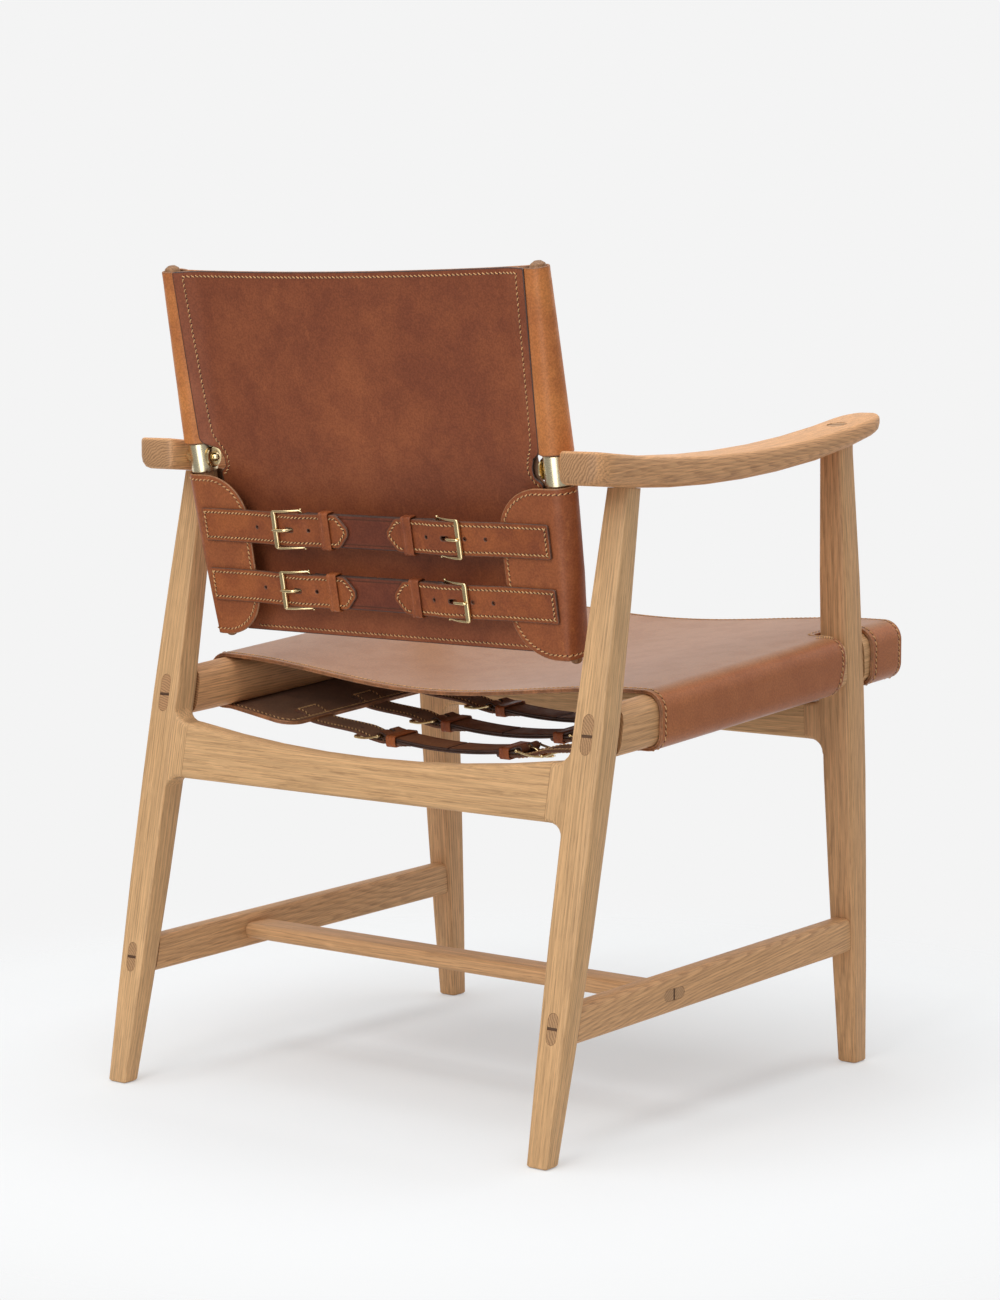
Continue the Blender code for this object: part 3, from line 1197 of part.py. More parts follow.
def buckle_path():
    """Middle line of the buckle's wire in the buckle's frame: along the strap, outward, across it."""
    half = STRAP_WIDE / 2 + BUCKLE_SIDE_CLEAR + BUCKLE_WIRE
    corner = BUCKLE_CORNER

    def height(place):
        return BUCKLE_RISE * math.sin(math.pi / 2 * min(max(place / BUCKLE_LONG, 0.0), 1.0))

    points = []
    for place, side in ((0.0, -1), (0.0, 1), (BUCKLE_LONG, 1), (BUCKLE_LONG, -1)):
        end = 1 if place > 0 else -1
        cx, cw = place - end * corner, side * (half - corner)
        for i in range(3):
            turn = math.radians(45 * i)
            across, away = math.sin(turn), math.cos(turn)
            if side == end:
                across, away = away, across
            points.append((cx + end * corner * away, cw + side * corner * across))
        if end < 0 and side > 0:
            points.append((0.55 * BUCKLE_LONG, half))
        if end > 0 and side < 0:
            points.append((0.55 * BUCKLE_LONG, -half))
    return [Vector((place, height(place), across)) for place, across in points]


def buckle_frame(name, strap, side, parent):
    """Buckle frame: heel bar, two rising arms and the outer bar in one bent wire."""
    path = buckle_path()
    rings = []
    for k, point in enumerate(path):
        run = path[(k + 1) % len(path)] - path[k - 1]
        rings.append(wire_ring(point, run, BUCKLE_WIRE, 6))
    seated = []
    for ring in rings:
        row = []
        for p in ring:
            x, out = strap.at_buckle(p.x, p.y)
            row.append(Vector((side * x, out, p.z)))
        seated.append(row)
    return object_from(name, closed_tube(seated), BRASS, parent)


def prong(name, strap, side, parent):
    """Prong with its eye on the heel bar; its empty sits on the heel bar's axis."""
    axis = bpy.data.objects.new(f"{name}_axis", None)
    axis.location = (side * strap.heel_x, strap.heel_out, 0)
    axis.rotation_euler = (0, 0, side * -strap.tilt)
    axis.parent = parent
    bpy.context.scene.collection.objects.link(axis)
    half = PRONG_EYE_WIDE / 2
    eye = tube_between((BUCKLE_WIRE + GAP) / math.cos(math.pi / 8), PRONG_EYE, -half, half, 8)
    piece = object_from(name, eye, BRASS, axis)
    low = 0.6 * MM
    rest = BUCKLE_RISE + BUCKLE_WIRE + GAP + PRONG_RADIUS
    path = ((PRONG_EYE - OVERLAP, low), (PRONG_FLAT, low), (PRONG_RISE_END, rest - 1.4 * MM),
            (BUCKLE_LONG - 3 * MM, rest), (BUCKLE_LONG + 2.6 * MM, rest - 0.1 * MM))
    rings = []
    for k, (place, out) in enumerate(path):
        before, after = path[max(k - 1, 0)], path[min(k + 1, len(path) - 1)]
        run = Vector((side * (after[0] - before[0]), after[1] - before[1], 0))
        rings.append(wire_ring(Vector((side * place, out, 0)), run, PRONG_RADIUS, 6))
    join(piece, object_from(f"{name}_shank", loft(rings), BRASS, axis))
    return piece


def strap_hardware(name, strap, parent, keeper_x):
    """Belt, two buckle frames and two prongs of one strap."""
    belt_solid(f"{name}_belt", strap, keeper_x, parent)
    for side in (1, -1):
        buckle_frame(side_name(f"{name}_buckle", side), strap, side, parent)
        prong(side_name(f"{name}_prong", side), strap, side, parent)


def back_straps(parent):
    """Two straps that draw the rear flaps together."""
    strap = Strap(BACK_HEEL_X, BACK_HEEL_OUT, 0.0)
    root_out = FLAP_OUT + GAP + STRAP_THICK / 2
    for height, place in zip(BACK_STRAP_HEIGHTS, ("upper", "lower")):
        frame = strap_empty(f"back_{place}_strap", parent, (0, 0, height), (0, 0, 0))
        root = [(BACK_BILLET_ROOT_X, root_out), (FLAP_EDGE_X + 12 * MM, root_out)]
        root.append((FLAP_EDGE_X, root_out + 0.1 * MM))
        for side in (1, -1):
            name = side_name(f"back_{place}_billet", side)
            billet_solid(name, strap, side, root, BACK_BILLET_TIP_X, frame, (-1, 1, 2))
        strap_hardware(f"back_{place}", strap, frame, BACK_KEEPER_X)


# Seat

def seat_sag(y):
    """How far the seat hangs below the rails in the middle."""
    share = (SEAT_REAR_Y - y) / (SEAT_REAR_Y + PLAN_DEPTH / 2)
    return between(SEAT_REAR_SAG, SEAT_FRONT_SAG, share)


def seat_path(y):
    """Middle line of the seat leather on the left half: centre, over the rail, round and under."""
    top, bottom = side_rail_top(y), side_rail_bottom(y)
    off = GAP + SEAT_LEATHER / 2
    slot_top = LEG_SPREAD - LEG_WIDE / 2 - LEG_SLOT_TOP
    path = []
    for x in [slot_top * share for share in (0, 0.185, 0.37, 0.55, 0.73, 0.875, 1)]:
        hang = seat_sag(y) * math.cos(math.pi / 2 * min(x / LEG_SPREAD, 1.0)) ** 2
        path.append((x, top + off - hang))
    half = SIDE_RAIL_WIDE / 2
    for turn in (90, 60, 30, 0):
        radius = SIDE_RAIL_TOP_ROUND + off
        angle = math.radians(turn)
        path.append((LEG_SPREAD + half - SIDE_RAIL_TOP_ROUND + radius * math.cos(angle),
                     top - SIDE_RAIL_TOP_ROUND + radius * math.sin(angle)))
    for turn in (0, -30, -60, -90):
        radius = SIDE_RAIL_BOTTOM_ROUND + off
        angle = math.radians(turn)
        path.append((LEG_SPREAD + half - SIDE_RAIL_BOTTOM_ROUND + radius * math.cos(angle),
                     bottom + SIDE_RAIL_BOTTOM_ROUND + radius * math.sin(angle)))
    leave_x = LEG_SPREAD - half / 2
    path.append((leave_x, bottom - off))
    slot_under = LEG_SPREAD - LEG_WIDE / 2 - LEG_SLOT_UNDER
    for x in (slot_under, (slot_under + UNDER_FLAP_X) / 2, UNDER_FLAP_X):
        share = (leave_x - x) / (leave_x - UNDER_FLAP_X)
        path.append((x, bottom - off - UNDER_FLAP_DROP * share))
    return path


def seat_leather():
    """Seat leather over both side rails, slotted round the front legs, with its strap billets."""
    slot_mid = front_centre(RAIL_LEVEL + SIDE_RAIL_TOP_ROUND * 2)
    slot_half = FRONT_LEG_DEEP / 2 + LEG_SLOT_CLEAR
    front = (SEAT_LEATHER * SIDE_RAIL_TOP_SLOPE - PLAN_DEPTH) / 2
    rows = [SEAT_REAR_Y, SEAT_REAR_Y - UNDER_FLAP_CORNER]
    rows += stations(SEAT_REAR_Y - 60 * MM, slot_mid + slot_half, 5)
    rows += [slot_mid - slot_half, front]
    slot_row = len(rows) - 3
    flap_from = len(seat_path(0.0)) - 4
    grid = []
    for i, y in enumerate(rows):
        half = seat_path(y)
        points = []
        for k, (x, z) in enumerate(half):
            pull = UNDER_FLAP_CORNER * 0.8 if i == 0 and k == len(half) - 1 else 0.0
            points.append((x, y - pull, z))
        line = [(-x, yy, z) for x, yy, z in reversed(points[1:])] + points
        grid.append([Vector(p) for p in line])
    columns = len(grid[0])
    middle = columns // 2
    slot_from = 6

    def kept(i, j):
        column = j - middle if j >= middle else middle - 1 - j
        if i > slot_row:
            return column < flap_from
        return i < slot_row or column < slot_from

    leather = object_from("seat_leather", thick_sheet(grid, kept, SEAT_LEATHER), LEATHER)
    return leather


def seat_straps(leather):
    """Three straps that draw the under-flaps together, their billets sewn to the flaps."""
    strap = Strap(SEAT_HEEL_X, SEAT_HEEL_DROP, SEAT_BELT_SAG)
    slope = math.atan(SIDE_RAIL_TOP_SLOPE)
    for share, place in zip(SEAT_STRAP_SHARES, ("rear", "middle", "front")):
        y = between(SEAT_REAR_Y, front_back(FRONT_RAIL_BOTTOM), share)
        base = side_rail_bottom(y)
        frame = strap_empty(f"seat_{place}_strap", None, (0, y, base), (-math.pi / 2 - slope, 0, 0))
        start_out = GAP + SEAT_LEATHER / 2 + UNDER_FLAP_DROP
        root = [(UNDER_FLAP_X + 5 * MM, start_out - 0.9 * MM), (UNDER_FLAP_X - 3 * MM, start_out + 0.5 * MM)]
        for side in (1, -1):
            name = f"seat_{place}_billet_{side}"
            join(leather, billet_solid(name, strap, side, root, SEAT_BILLET_TIP_X, frame, ()))
        strap_hardware(f"seat_{place}", strap, frame, SEAT_KEEPER_X)


def main():
    """Build the whole chair."""
    clear_scene()
    for side in (1, -1):
        rear_leg(side)
        front_leg(side)
        side_rail(side)
        side_stretcher(side)
        armrest(side)
    cross_rail("rear_rail", rear_back, REAR_RAIL_BOTTOM, REAR_RAIL_END_HEIGHT, REAR_RAIL_MIDDLE_HEIGHT)
    cross_rail("front_rail", front_back, FRONT_RAIL_BOTTOM, FRONT_RAIL_END_HEIGHT, FRONT_RAIL_MIDDLE_HEIGHT)
    centre_stretcher()
    back = back_empty()
    for side in (1, -1):
        back_post(side, back)
        pivot_sleeve(side, back)
        pivot_bolt(side)
    back_leather(back)
    back_panel(back)
    back_straps(back)
    seat_straps(seat_leather())


main()
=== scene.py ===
"""Dressed scene of a hunting chair: oak frame, sling seat and tilting back of saddle leather, brass buckles.

The chair faces -Y, the sitter's left hand is at +X and up is +Z. Everything is in metres. The wooden
pieces are the fixed frame's own and get their grain here. Leather, thread and brass are built here, each
in the place of the plain solid that it stands for.
"""

import logging
import math
from collections.abc import Callable, Sequence
from dataclasses import dataclass, field
from enum import Enum, IntEnum

import bpy
import numpy as np
from mathutils import Euler, Matrix, Vector
from mathutils.geometry import delaunay_2d_cdt
from mathutils.kdtree import KDTree


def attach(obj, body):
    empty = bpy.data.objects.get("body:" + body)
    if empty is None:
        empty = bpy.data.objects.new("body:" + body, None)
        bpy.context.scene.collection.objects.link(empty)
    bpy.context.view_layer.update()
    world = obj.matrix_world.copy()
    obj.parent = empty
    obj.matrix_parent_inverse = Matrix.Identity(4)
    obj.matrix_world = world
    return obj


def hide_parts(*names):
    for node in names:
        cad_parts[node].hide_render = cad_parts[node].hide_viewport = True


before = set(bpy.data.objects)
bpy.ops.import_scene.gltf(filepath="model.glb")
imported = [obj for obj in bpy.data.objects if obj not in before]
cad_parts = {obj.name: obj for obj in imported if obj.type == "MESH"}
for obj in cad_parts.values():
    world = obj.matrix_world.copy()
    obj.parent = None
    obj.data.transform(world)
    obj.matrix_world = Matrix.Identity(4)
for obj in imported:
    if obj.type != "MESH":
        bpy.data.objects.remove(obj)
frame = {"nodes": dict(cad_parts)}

MM = 0.001
LOG = logging.getLogger("hunting_chair")
Pair = tuple[float, float]
Triple = tuple[float, float, float]
Colour = Triple
Reading = Callable[[float], float]
MarkReading = Callable[[str, float], float]

CLEARANCE = 0.3 * MM  # gap that is left between pieces that lie on one another
POST_SPREAD = 220.5 * MM  # from the middle of the back to each post, at the bolts
POST_SPLAY = 0.0251  # how much each post leans outward
BOLTS_Y = 205.5 * MM  # the bolts' line behind the middle of the chair
BOLTS_Z = 623 * MM  # and above the floor
RECLINE = math.radians(11.25)  # how far the back leans from upright


class Side(Enum):
    """Side of the chair, as the sitter has it."""

    LEFT = 1
    RIGHT = -1

    @property
    def word(self) -> str:
        """Ending of the names of this side's pieces."""
        return self.name.lower()


class Skin(IntEnum):
    """Number of each finish on a piece of leather, with its keepers' last."""

    GRAIN, EDGE, FLESH, KEEPER = range(4)


class Row(IntEnum):
    """Number of each finish on a row of stitches."""

    THREAD, HOLE = range(2)


# Lines and outlines

def ease(value: float, low: float, high: float) -> float:
    """Smooth climb from 0 at low to 1 at high, and level beyond them."""
    share = min(max((value - low) / (high - low), 0.0), 1.0)
    return share * share * (3 - 2 * share)


def along(table: Sequence[Pair], value: float) -> float:
    """Straight-line reading of a table of (place, size) pairs in rising order."""
    return float(np.interp(value, [p for p, _ in table], [s for _, s in table]))


def soft_line(points: Sequence[Sequence[float]], rounds: int = 3) -> np.ndarray:
    """Round the corners of an open line by cutting them, keeping its ends.

    Args:
        points: The line's points.
        rounds: How many times the corners are cut.

    Returns:
        The smoothed line.
    """
    line = np.array(points, float)
    for _ in range(rounds):
        near = line[:-1] * 0.75 + line[1:] * 0.25
        far = line[:-1] * 0.25 + line[1:] * 0.75
        inner = np.stack([near, far], axis=1).reshape(-1, line.shape[1])
        line = np.vstack([line[:1], inner, line[-1:]])
    return line


def lengths(line: np.ndarray) -> np.ndarray:
    """Distance from the start to each point of a line."""
    steps = np.linalg.norm(np.diff(line, axis=0), axis=1)
    return np.concatenate([[0.0], np.cumsum(steps)])


def read_line(line: np.ndarray, places: np.ndarray) -> np.ndarray:
    """Points of a line at distances from its start, running on straight past its end.

    Args:
        line: The line's points.
        places: The distances.

    Returns:
        One point for each distance.
    """
    run = lengths(line)
    read = np.stack([np.interp(places, run, line[:, k]) for k in range(line.shape[1])], axis=1)
    over = np.maximum(places - run[-1], 0.0)[:, None]
    onward = (line[-1] - line[-2]) / max(np.linalg.norm(line[-1] - line[-2]), 1e-9)
    return read + over * onward


def fillet(corners: Sequence[Triple], step: float = 1.2 * MM) -> np.ndarray:
    """Closed outline with a rounding at each corner.

    Args:
        corners: (across, along, radius) of each corner, anticlockwise.
        step: Spacing of the points on the roundings.

    Returns:
        The outline's points.
    """
    made = []
    count = len(corners)
    for k, (a, b, radius) in enumerate(corners):
        here = np.array((a, b))
        before = np.array(corners[k - 1][:2]) - here
        after = np.array(corners[(k + 1) % count][:2]) - here
        reach_before, reach_after = np.linalg.norm(before), np.linalg.norm(after)
        before, after = before / reach_before, after / reach_after
        half = math.acos(np.clip(before @ after, -1, 1)) / 2
        if radius <= 0 or half > math.pi / 2 - 0.02:
            made.append(here)
            continue
        back_off = min(radius / math.tan(half), reach_before * 0.49, reach_after * 0.49)
        radius = back_off * math.tan(half)
        middle = here + (before + after) / np.linalg.norm(before + after) * radius / math.sin(half)
        start, end = here + before * back_off - middle, here + after * back_off - middle
        turn = math.atan2(start[0] * end[1] - start[1] * end[0], start @ end)
        parts = max(2, int(abs(turn) * radius / step))
        for i in range(parts + 1):
            angle = turn * i / parts
            c, s = math.cos(angle), math.sin(angle)
            made.append(middle + np.array((c * start[0] - s * start[1], s * start[0] + c * start[1])))
    return np.array(made)


def both_sides(half: Sequence[Triple]) -> np.ndarray:
    """Closed outline from the corners of its left half and their mirror images."""
    return fillet(list(half) + [(-a, b, r) for a, b, r in reversed(half)])


def respaced(outline: np.ndarray, step: float) -> np.ndarray:
    """Closed outline with points no further apart than a step, its own points kept.

    Args:
        outline: The outline's points.
        step: The largest spacing.

    Returns:
        The finer outline.
    """
    made = []
    for here, there in zip(outline, np.roll(outline, -1, axis=0)):
        parts = max(1, int(math.ceil(np.linalg.norm(there - here) / step)))
        made += [here + (there - here) * i / parts for i in range(parts)]
    points = np.array(made)
    keep = np.linalg.norm(points - np.roll(points, 1, axis=0), axis=1) > 0.2 * MM
    return points[keep]


def inward(outline: np.ndarray) -> np.ndarray:
    """Direction into the leather at each point of an outline, which keeps the leather on its left.

    Args:
        outline: The outline's points.

    Returns:
        One direction for each point, a little longer at corners.
    """
    before = outline - np.roll(outline, 1, axis=0)
    after = np.roll(outline, -1, axis=0) - outline
    before /= np.linalg.norm(before, axis=1)[:, None]
    after /= np.linalg.norm(after, axis=1)[:, None]
    turned = np.stack([-(before + after)[:, 1], (before + after)[:, 0]], axis=1)
    turned /= np.maximum(np.linalg.norm(turned, axis=1), 1e-6)[:, None]
    stretch = np.sqrt(np.clip((1 + (before * after).sum(axis=1)) / 2, 0.4, 1.0))
    return turned / stretch[:, None]


def inside(points: np.ndarray, outlines: Sequence[np.ndarray]) -> np.ndarray:
    """Which points lie within the outlines, by counting crossings.

    Args:
        points: The points to test.
        outlines: The outer outline and the holes.

    Returns:
        True for each point that lies on leather.
    """
    found = np.zeros(len(points), bool)
    for outline in outlines:
        for (ax, ay), (bx, by) in zip(outline, np.roll(outline, -1, axis=0)):
            if ay == by:
                continue
            spans = (points[:, 1] >= min(ay, by)) & (points[:, 1] < max(ay, by))
            cross = ax + (points[:, 1] - ay) * (bx - ax) / (by - ay)
            found ^= spans & (points[:, 0] < cross)
    return found


def nearest(line: np.ndarray, places: np.ndarray) -> np.ndarray:
    """Distance from each place to the nearest point of a line.

    Args:
        line: The line's points.
        places: The places.

    Returns:
        One distance for each place.
    """
    tree = KDTree(len(line))
    for k, (a, b) in enumerate(line):
        tree.insert((a, b, 0.0), k)
    tree.balance()
    return np.array([tree.find((a, b, 0.0))[2] for a, b in places])


def around(turns: np.ndarray, first: np.ndarray, second: np.ndarray) -> np.ndarray:
    """Directions at each turn from a first direction towards a second, for each pair of them."""
    return np.cos(turns)[:, None] * first[..., None, :] + np.sin(turns)[:, None] * second[..., None, :]


def arc(middle: Pair, radius: float, start: float, end: float, count: int) -> np.ndarray:
    """Points of an arc between two turns in degrees."""
    turns = np.radians(np.linspace(start, end, count))
    return np.stack([middle[0] + radius * np.cos(turns), middle[1] + radius * np.sin(turns)], axis=1)


def frame_at(place: Triple, turn: float) -> Matrix:
    """Frame at a place of the chair, turned about the line across it."""
    return Matrix.Translation(place) @ Euler((turn, 0, 0)).to_matrix().to_4x4()


def moved(points: np.ndarray, place: Matrix) -> np.ndarray:
    """Points carried from a piece's own frame into the chair's."""
    return points @ np.array(place.to_3x3()).T + np.array(place.translation)


# Meshes

@dataclass
class MeshStock:
    """Points, faces and finishes that are gathered into one piece."""

    points: list[np.ndarray] = field(default_factory=list)
    faces: list[tuple[int, ...]] = field(default_factory=list)
    finishes: list[int] = field(default_factory=list)
    marks: dict[str, list[np.ndarray]] = field(default_factory=dict)
    count: int = 0

    def add_points(self, points: np.ndarray, **marks: np.ndarray) -> int:
        """Add points with their marks.

        Args:
            points: The points.
            marks: Values from 0 to 1 that the finishes read, one for each point.

        Returns:
            The number of the first point.
        """
        first = self.count
        self.points.append(np.asarray(points, float))
        self.count += len(points)
        for name in ("rim", "crease"):
            values = marks.get(name, np.zeros(len(points)))
            self.marks.setdefault(name, []).append(np.asarray(values, float))
        return first

    def add_faces(self, faces: Sequence[Sequence[int]], finish: int = 0) -> None:
        """Add faces in one finish, given by their point numbers."""
        self.faces += [tuple(int(i) for i in face) for face in faces]
        self.finishes += [int(finish)] * len(faces)

    def add_tube(self, rings: np.ndarray, finish: int = 0, closed: bool = False) -> None:
        """Skin rings of points.

        Args:
            rings: Points as (ring, place in the ring, 3).
            finish: Number of the finish.
            closed: Whether the last ring meets the first; otherwise both ends are closed.
        """
        count, sides = rings.shape[:2]
        first = self.add_points(rings.reshape(-1, 3))
        i, j = np.arange(sides), (np.arange(sides) + 1) % sides
        faces = []
        for k in range(count if closed else count - 1):
            here, there = first + k * sides, first + (k + 1) % count * sides
            faces += np.stack([here + i, there + i, there + j, here + j], axis=1).tolist()
        if not closed:
            faces.append([first + n for n in range(sides)])
            faces.append([first + (count - 1) * sides + n for n in reversed(range(sides))])
        self.add_faces(faces, finish)

    def piece(self, name: str, finishes: Sequence[bpy.types.Material], sharp: float = 50) -> bpy.types.Object:
        """Turn the stock into an object.

        Args:
            name: Name of the piece.
            finishes: Its materials, in the order of their numbers.
            sharp: Angle in degrees from which an edge stays sharp.

        Returns:
            The object, in the chair's own place.
        """
        mesh = bpy.data.meshes.new(name)
        mesh.from_pydata(np.vstack(self.points).tolist(), [], self.faces)
        mesh.polygons.foreach_set("material_index", self.finishes)
        mesh.update()
        for mark, values in self.marks.items():
            if any(v.any() for v in values):
                attribute = mesh.attributes.new(mark, "FLOAT", "POINT")
                attribute.data.foreach_set("value", np.concatenate(values).astype(np.float32))
        mesh.shade_smooth()
        mesh.set_sharp_from_angle(angle=math.radians(sharp))
        for finish in finishes:
            mesh.materials.append(finish)
        made = bpy.data.objects.new(name, mesh)
        bpy.context.scene.collection.objects.link(made)
        return made


@dataclass
class Face:
    """Curved face that leather lies along: places across and along it, and the points there."""

    across: np.ndarray
    down: np.ndarray
    points: np.ndarray
    facing: float = 1.0

    def __post_init__(self) -> None:
        """Work out which way the face looks at each of its points."""
        look = np.cross(np.gradient(self.points, axis=1), np.gradient(self.points, axis=0))
        look /= np.maximum(np.linalg.norm(look, axis=2), 1e-12)[:, :, None]
        self.looks = look * self.facing

    def _read(self, table: np.ndarray, a: np.ndarray, b: np.ndarray) -> np.ndarray:
        """Read a table of the face between its rows and columns.

        Args:
            table: Values at each row and column.
            a: Places across.
            b: Places along.

        Returns:
            The value at each place.
        """
        i = np.clip(np.searchsorted(self.down, b) - 1, 0, len(self.down) - 2)
        j = np.clip(np.searchsorted(self.across, a) - 1, 0, len(self.across) - 2)
        s = ((a - self.across[j]) / (self.across[j + 1] - self.across[j]))[:, None]
        t = ((b - self.down[i]) / (self.down[i + 1] - self.down[i]))[:, None]
        low = table[i, j] * (1 - s) + table[i, j + 1] * s
        high = table[i + 1, j] * (1 - s) + table[i + 1, j + 1] * s
        return low * (1 - t) + high * t

    def at(self, places: np.ndarray, lift: np.ndarray | float = 0.0) -> np.ndarray:
        """Points above places on the face.

        Args:
            places: (across, down) of each point.
            lift: Height above the face.

        Returns:
            The points in the chair's frame.
        """
        a, b = places[:, 0], places[:, 1]
        look = self._read(self.looks, a, b)
        look /= np.linalg.norm(look, axis=1)[:, None]
        return self._read(self.points, a, b) + look * np.broadcast_to(lift, len(a))[:, None]


@dataclass
class Hide:
    """A cut piece of leather on a face: thickness, layers, and how its edges and rows are worked."""

    face: Face
    outline: np.ndarray
    thick: float
    holes: list[np.ndarray] = field(default_factory=list)
    layers: int = 1
    spacing: float = 4 * MM
    stitch_inset: float = 0.0
    crease_inset: float = 0.0

    def edge_steps(self) -> list[Pair]:
        """Section of the cut edge.

        Returns:
            (distance out from the inner edge line, height) pairs from top to bottom.
        """
        high = self.thick / self.layers
        round_off = high / 2
        steps = []
        for layer in range(self.layers):
            middle = self.thick / 2 - high * (layer + 0.5)
            for turn in (52, 18, -18, -52):
                angle = math.radians(turn)
                steps.append((round_off * math.cos(angle), middle + round_off * math.sin(angle)))
            if layer < self.layers - 1:
                steps.append((round_off * 0.35, middle - high / 2))
        return steps

    def laid(self) -> MeshStock:
        """Build the leather: both faces, and a rounded edge round the outline and each hole.

        Returns:
            The stock that it is built in.
        """
        stock = MeshStock()
        round_off = self.thick / self.layers / 2
        rings, flats = [], []
        for k, outline in enumerate([self.outline] + self.holes):
            ring = respaced(outline, self.spacing * (0.75 if k == 0 else 0.3))
            rings.append(ring)
            flats.append(ring + inward(ring) * round_off)
        rows = self._inner_rows(rings[0])
        flat_places, triangles, starts = self._triangles(flats, rows)
        rim, crease = self._marks(flat_places, rings[0])
        dip = crease * 0.3 * MM
        top = stock.add_points(self.face.at(flat_places, self.thick / 2 - dip), rim=rim, crease=crease)
        low = stock.add_points(self.face.at(flat_places, dip - self.thick / 2), rim=rim, crease=crease)
        turn = 1 if self.face.facing > 0 else -1
        stock.add_faces(triangles[:, ::turn] + top, Skin.GRAIN)
        stock.add_faces(triangles[:, ::-turn] + low, Skin.FLESH)
        for ring, flat, start in zip(rings, flats, starts):
            count = len(ring)
            out = (ring - flat) / round_off
            numbers = [top + start + np.arange(count)]
            for reach, height in self.edge_steps():
                first = stock.add_points(self.face.at(flat + out * reach, height), rim=np.ones(count))
                numbers.append(first + np.arange(count))
            numbers.append(low + start + np.arange(count))
            for here, there in zip(numbers, numbers[1:]):
                quads = np.stack([here, there, np.roll(there, -1), np.roll(here, -1)], axis=1)
                stock.add_faces(quads[:, ::turn], Skin.EDGE)
        return stock

    def _inner_rows(self, ring: np.ndarray) -> list[np.ndarray]:
        """Extra points along the edge, so that seams and creases are drawn sharply.

        Args:
            ring: The cut edge.

        Returns:
            The rows of points.
        """
        into = inward(ring)
        insets = [self.thick / self.layers / 2 + 1.2 * MM]
        if self.stitch_inset:
            insets += [self.stitch_inset + s * MM for s in (-1.1, 0, 1.1)]
        if self.crease_inset:
            insets += [self.crease_inset + s * MM for s in (-0.9, 0, 0.9)]
        return [ring + into * inset for inset in sorted(insets)]

    def _triangles(
        self, flats: list[np.ndarray], rows: list[np.ndarray]
    ) -> tuple[np.ndarray, np.ndarray, list[int]]:
        """Fill the flat part with triangles.

        Args:
            flats: Edge lines of the flat part.
            rows: Extra points along the edge.

        Returns:
            The flat part's places, its triangles and where each edge line starts.
        """
        # The grid keeps clear of the edge lines and rows, and each row keeps clear of the edge lines.
        low, high = flats[0].min(axis=0), flats[0].max(axis=0)
        across = np.arange(low[0], high[0], self.spacing)
        down = np.arange(low[1], high[1], self.spacing)
        grid = np.stack(np.meshgrid(across, down), axis=2).reshape(-1, 2) + self.spacing * 0.37
        edge = np.vstack(flats)
        clear = nearest(np.vstack([edge] + rows), grid) > self.spacing * 0.45
        extra = [grid[clear & inside(grid, flats)]]
        for row in rows:
            extra.append(row[(nearest(edge, row) > 0.7 * MM) & inside(row, flats)])
        places = np.vstack([edge] + extra)
        starts, links, at = [], [], 0
        for flat in flats:
            starts.append(at)
            links += [(at + k, at + (k + 1) % len(flat)) for k in range(len(flat))]
            at += len(flat)
        # The filling works in millimetres, which suit its tolerance.
        result = delaunay_2d_cdt([Vector(p) for p in places * 1000], links, [], 0, 1e-5)
        made = np.array([tuple(v) for v in result[0]]) / 1000
        faces = np.array([f for f in result[2] if len(f) == 3])
        faces = faces[inside(made[faces].mean(axis=1), flats)]
        if len(made) != len(places):
            faces, made = self._same_order(faces, made, places, result[3])
        return made, self._upright(faces, made), starts

    @staticmethod
    def _same_order(
        faces: np.ndarray, made: np.ndarray, places: np.ndarray, origins: list[list[int]]
    ) -> tuple[np.ndarray, np.ndarray]:
        """Put the filled places back in the order that they went in.

        Args:
            faces: Triangles over the made places.
            made: The made places.
            places: The places as they went in.
            origins: For each made place, the places that it came from.

        Returns:
            Triangles over the places as they went in, and those places with any new ones after them.
        """
        number = np.array([min(origin, default=-1) for origin in origins])
        new = number < 0
        number[new] = len(places) + np.arange(new.sum())
        return number[faces], np.vstack([places, made[new]])

    @staticmethod
    def _upright(faces: np.ndarray, places: np.ndarray) -> np.ndarray:
        """Turn each triangle anticlockwise."""
        (ax, ay), (bx, by), (cx, cy) = (places[faces[:, k]].T for k in range(3))
        return np.where(((bx - ax) * (cy - ay) < (by - ay) * (cx - ax))[:, None], faces[:, ::-1], faces)

    def _marks(self, places: np.ndarray, ring: np.ndarray) -> tuple[np.ndarray, np.ndarray]:
        """Marks that the finishes read.

        Args:
            places: Places on the leather.
            ring: The cut edge.

        Returns:
            How near each place lies to the cut edge, and how deep in a seam or crease, from 0 to 1.
        """
        near = nearest(ring, places)
        rim = np.clip(1 - near / (2.2 * MM), 0, 1) ** 1.3 * 0.5
        crease = np.zeros(len(places))
        for inset, reach in ((self.stitch_inset, 1.2), (self.crease_inset, 0.9)):
            if inset:
                crease = np.maximum(crease, np.clip(1 - np.abs(near - inset) / (reach * MM), 0, 1))
        return rim, crease

    def area(self) -> float:
        """Flat area of the cut."""
        cuts = [cut.T for cut in [self.outline] + self.holes]
        return abs(sum(float(np.sum(a * np.roll(b, -1) - np.roll(a, -1) * b)) / 2 for a, b in cuts))


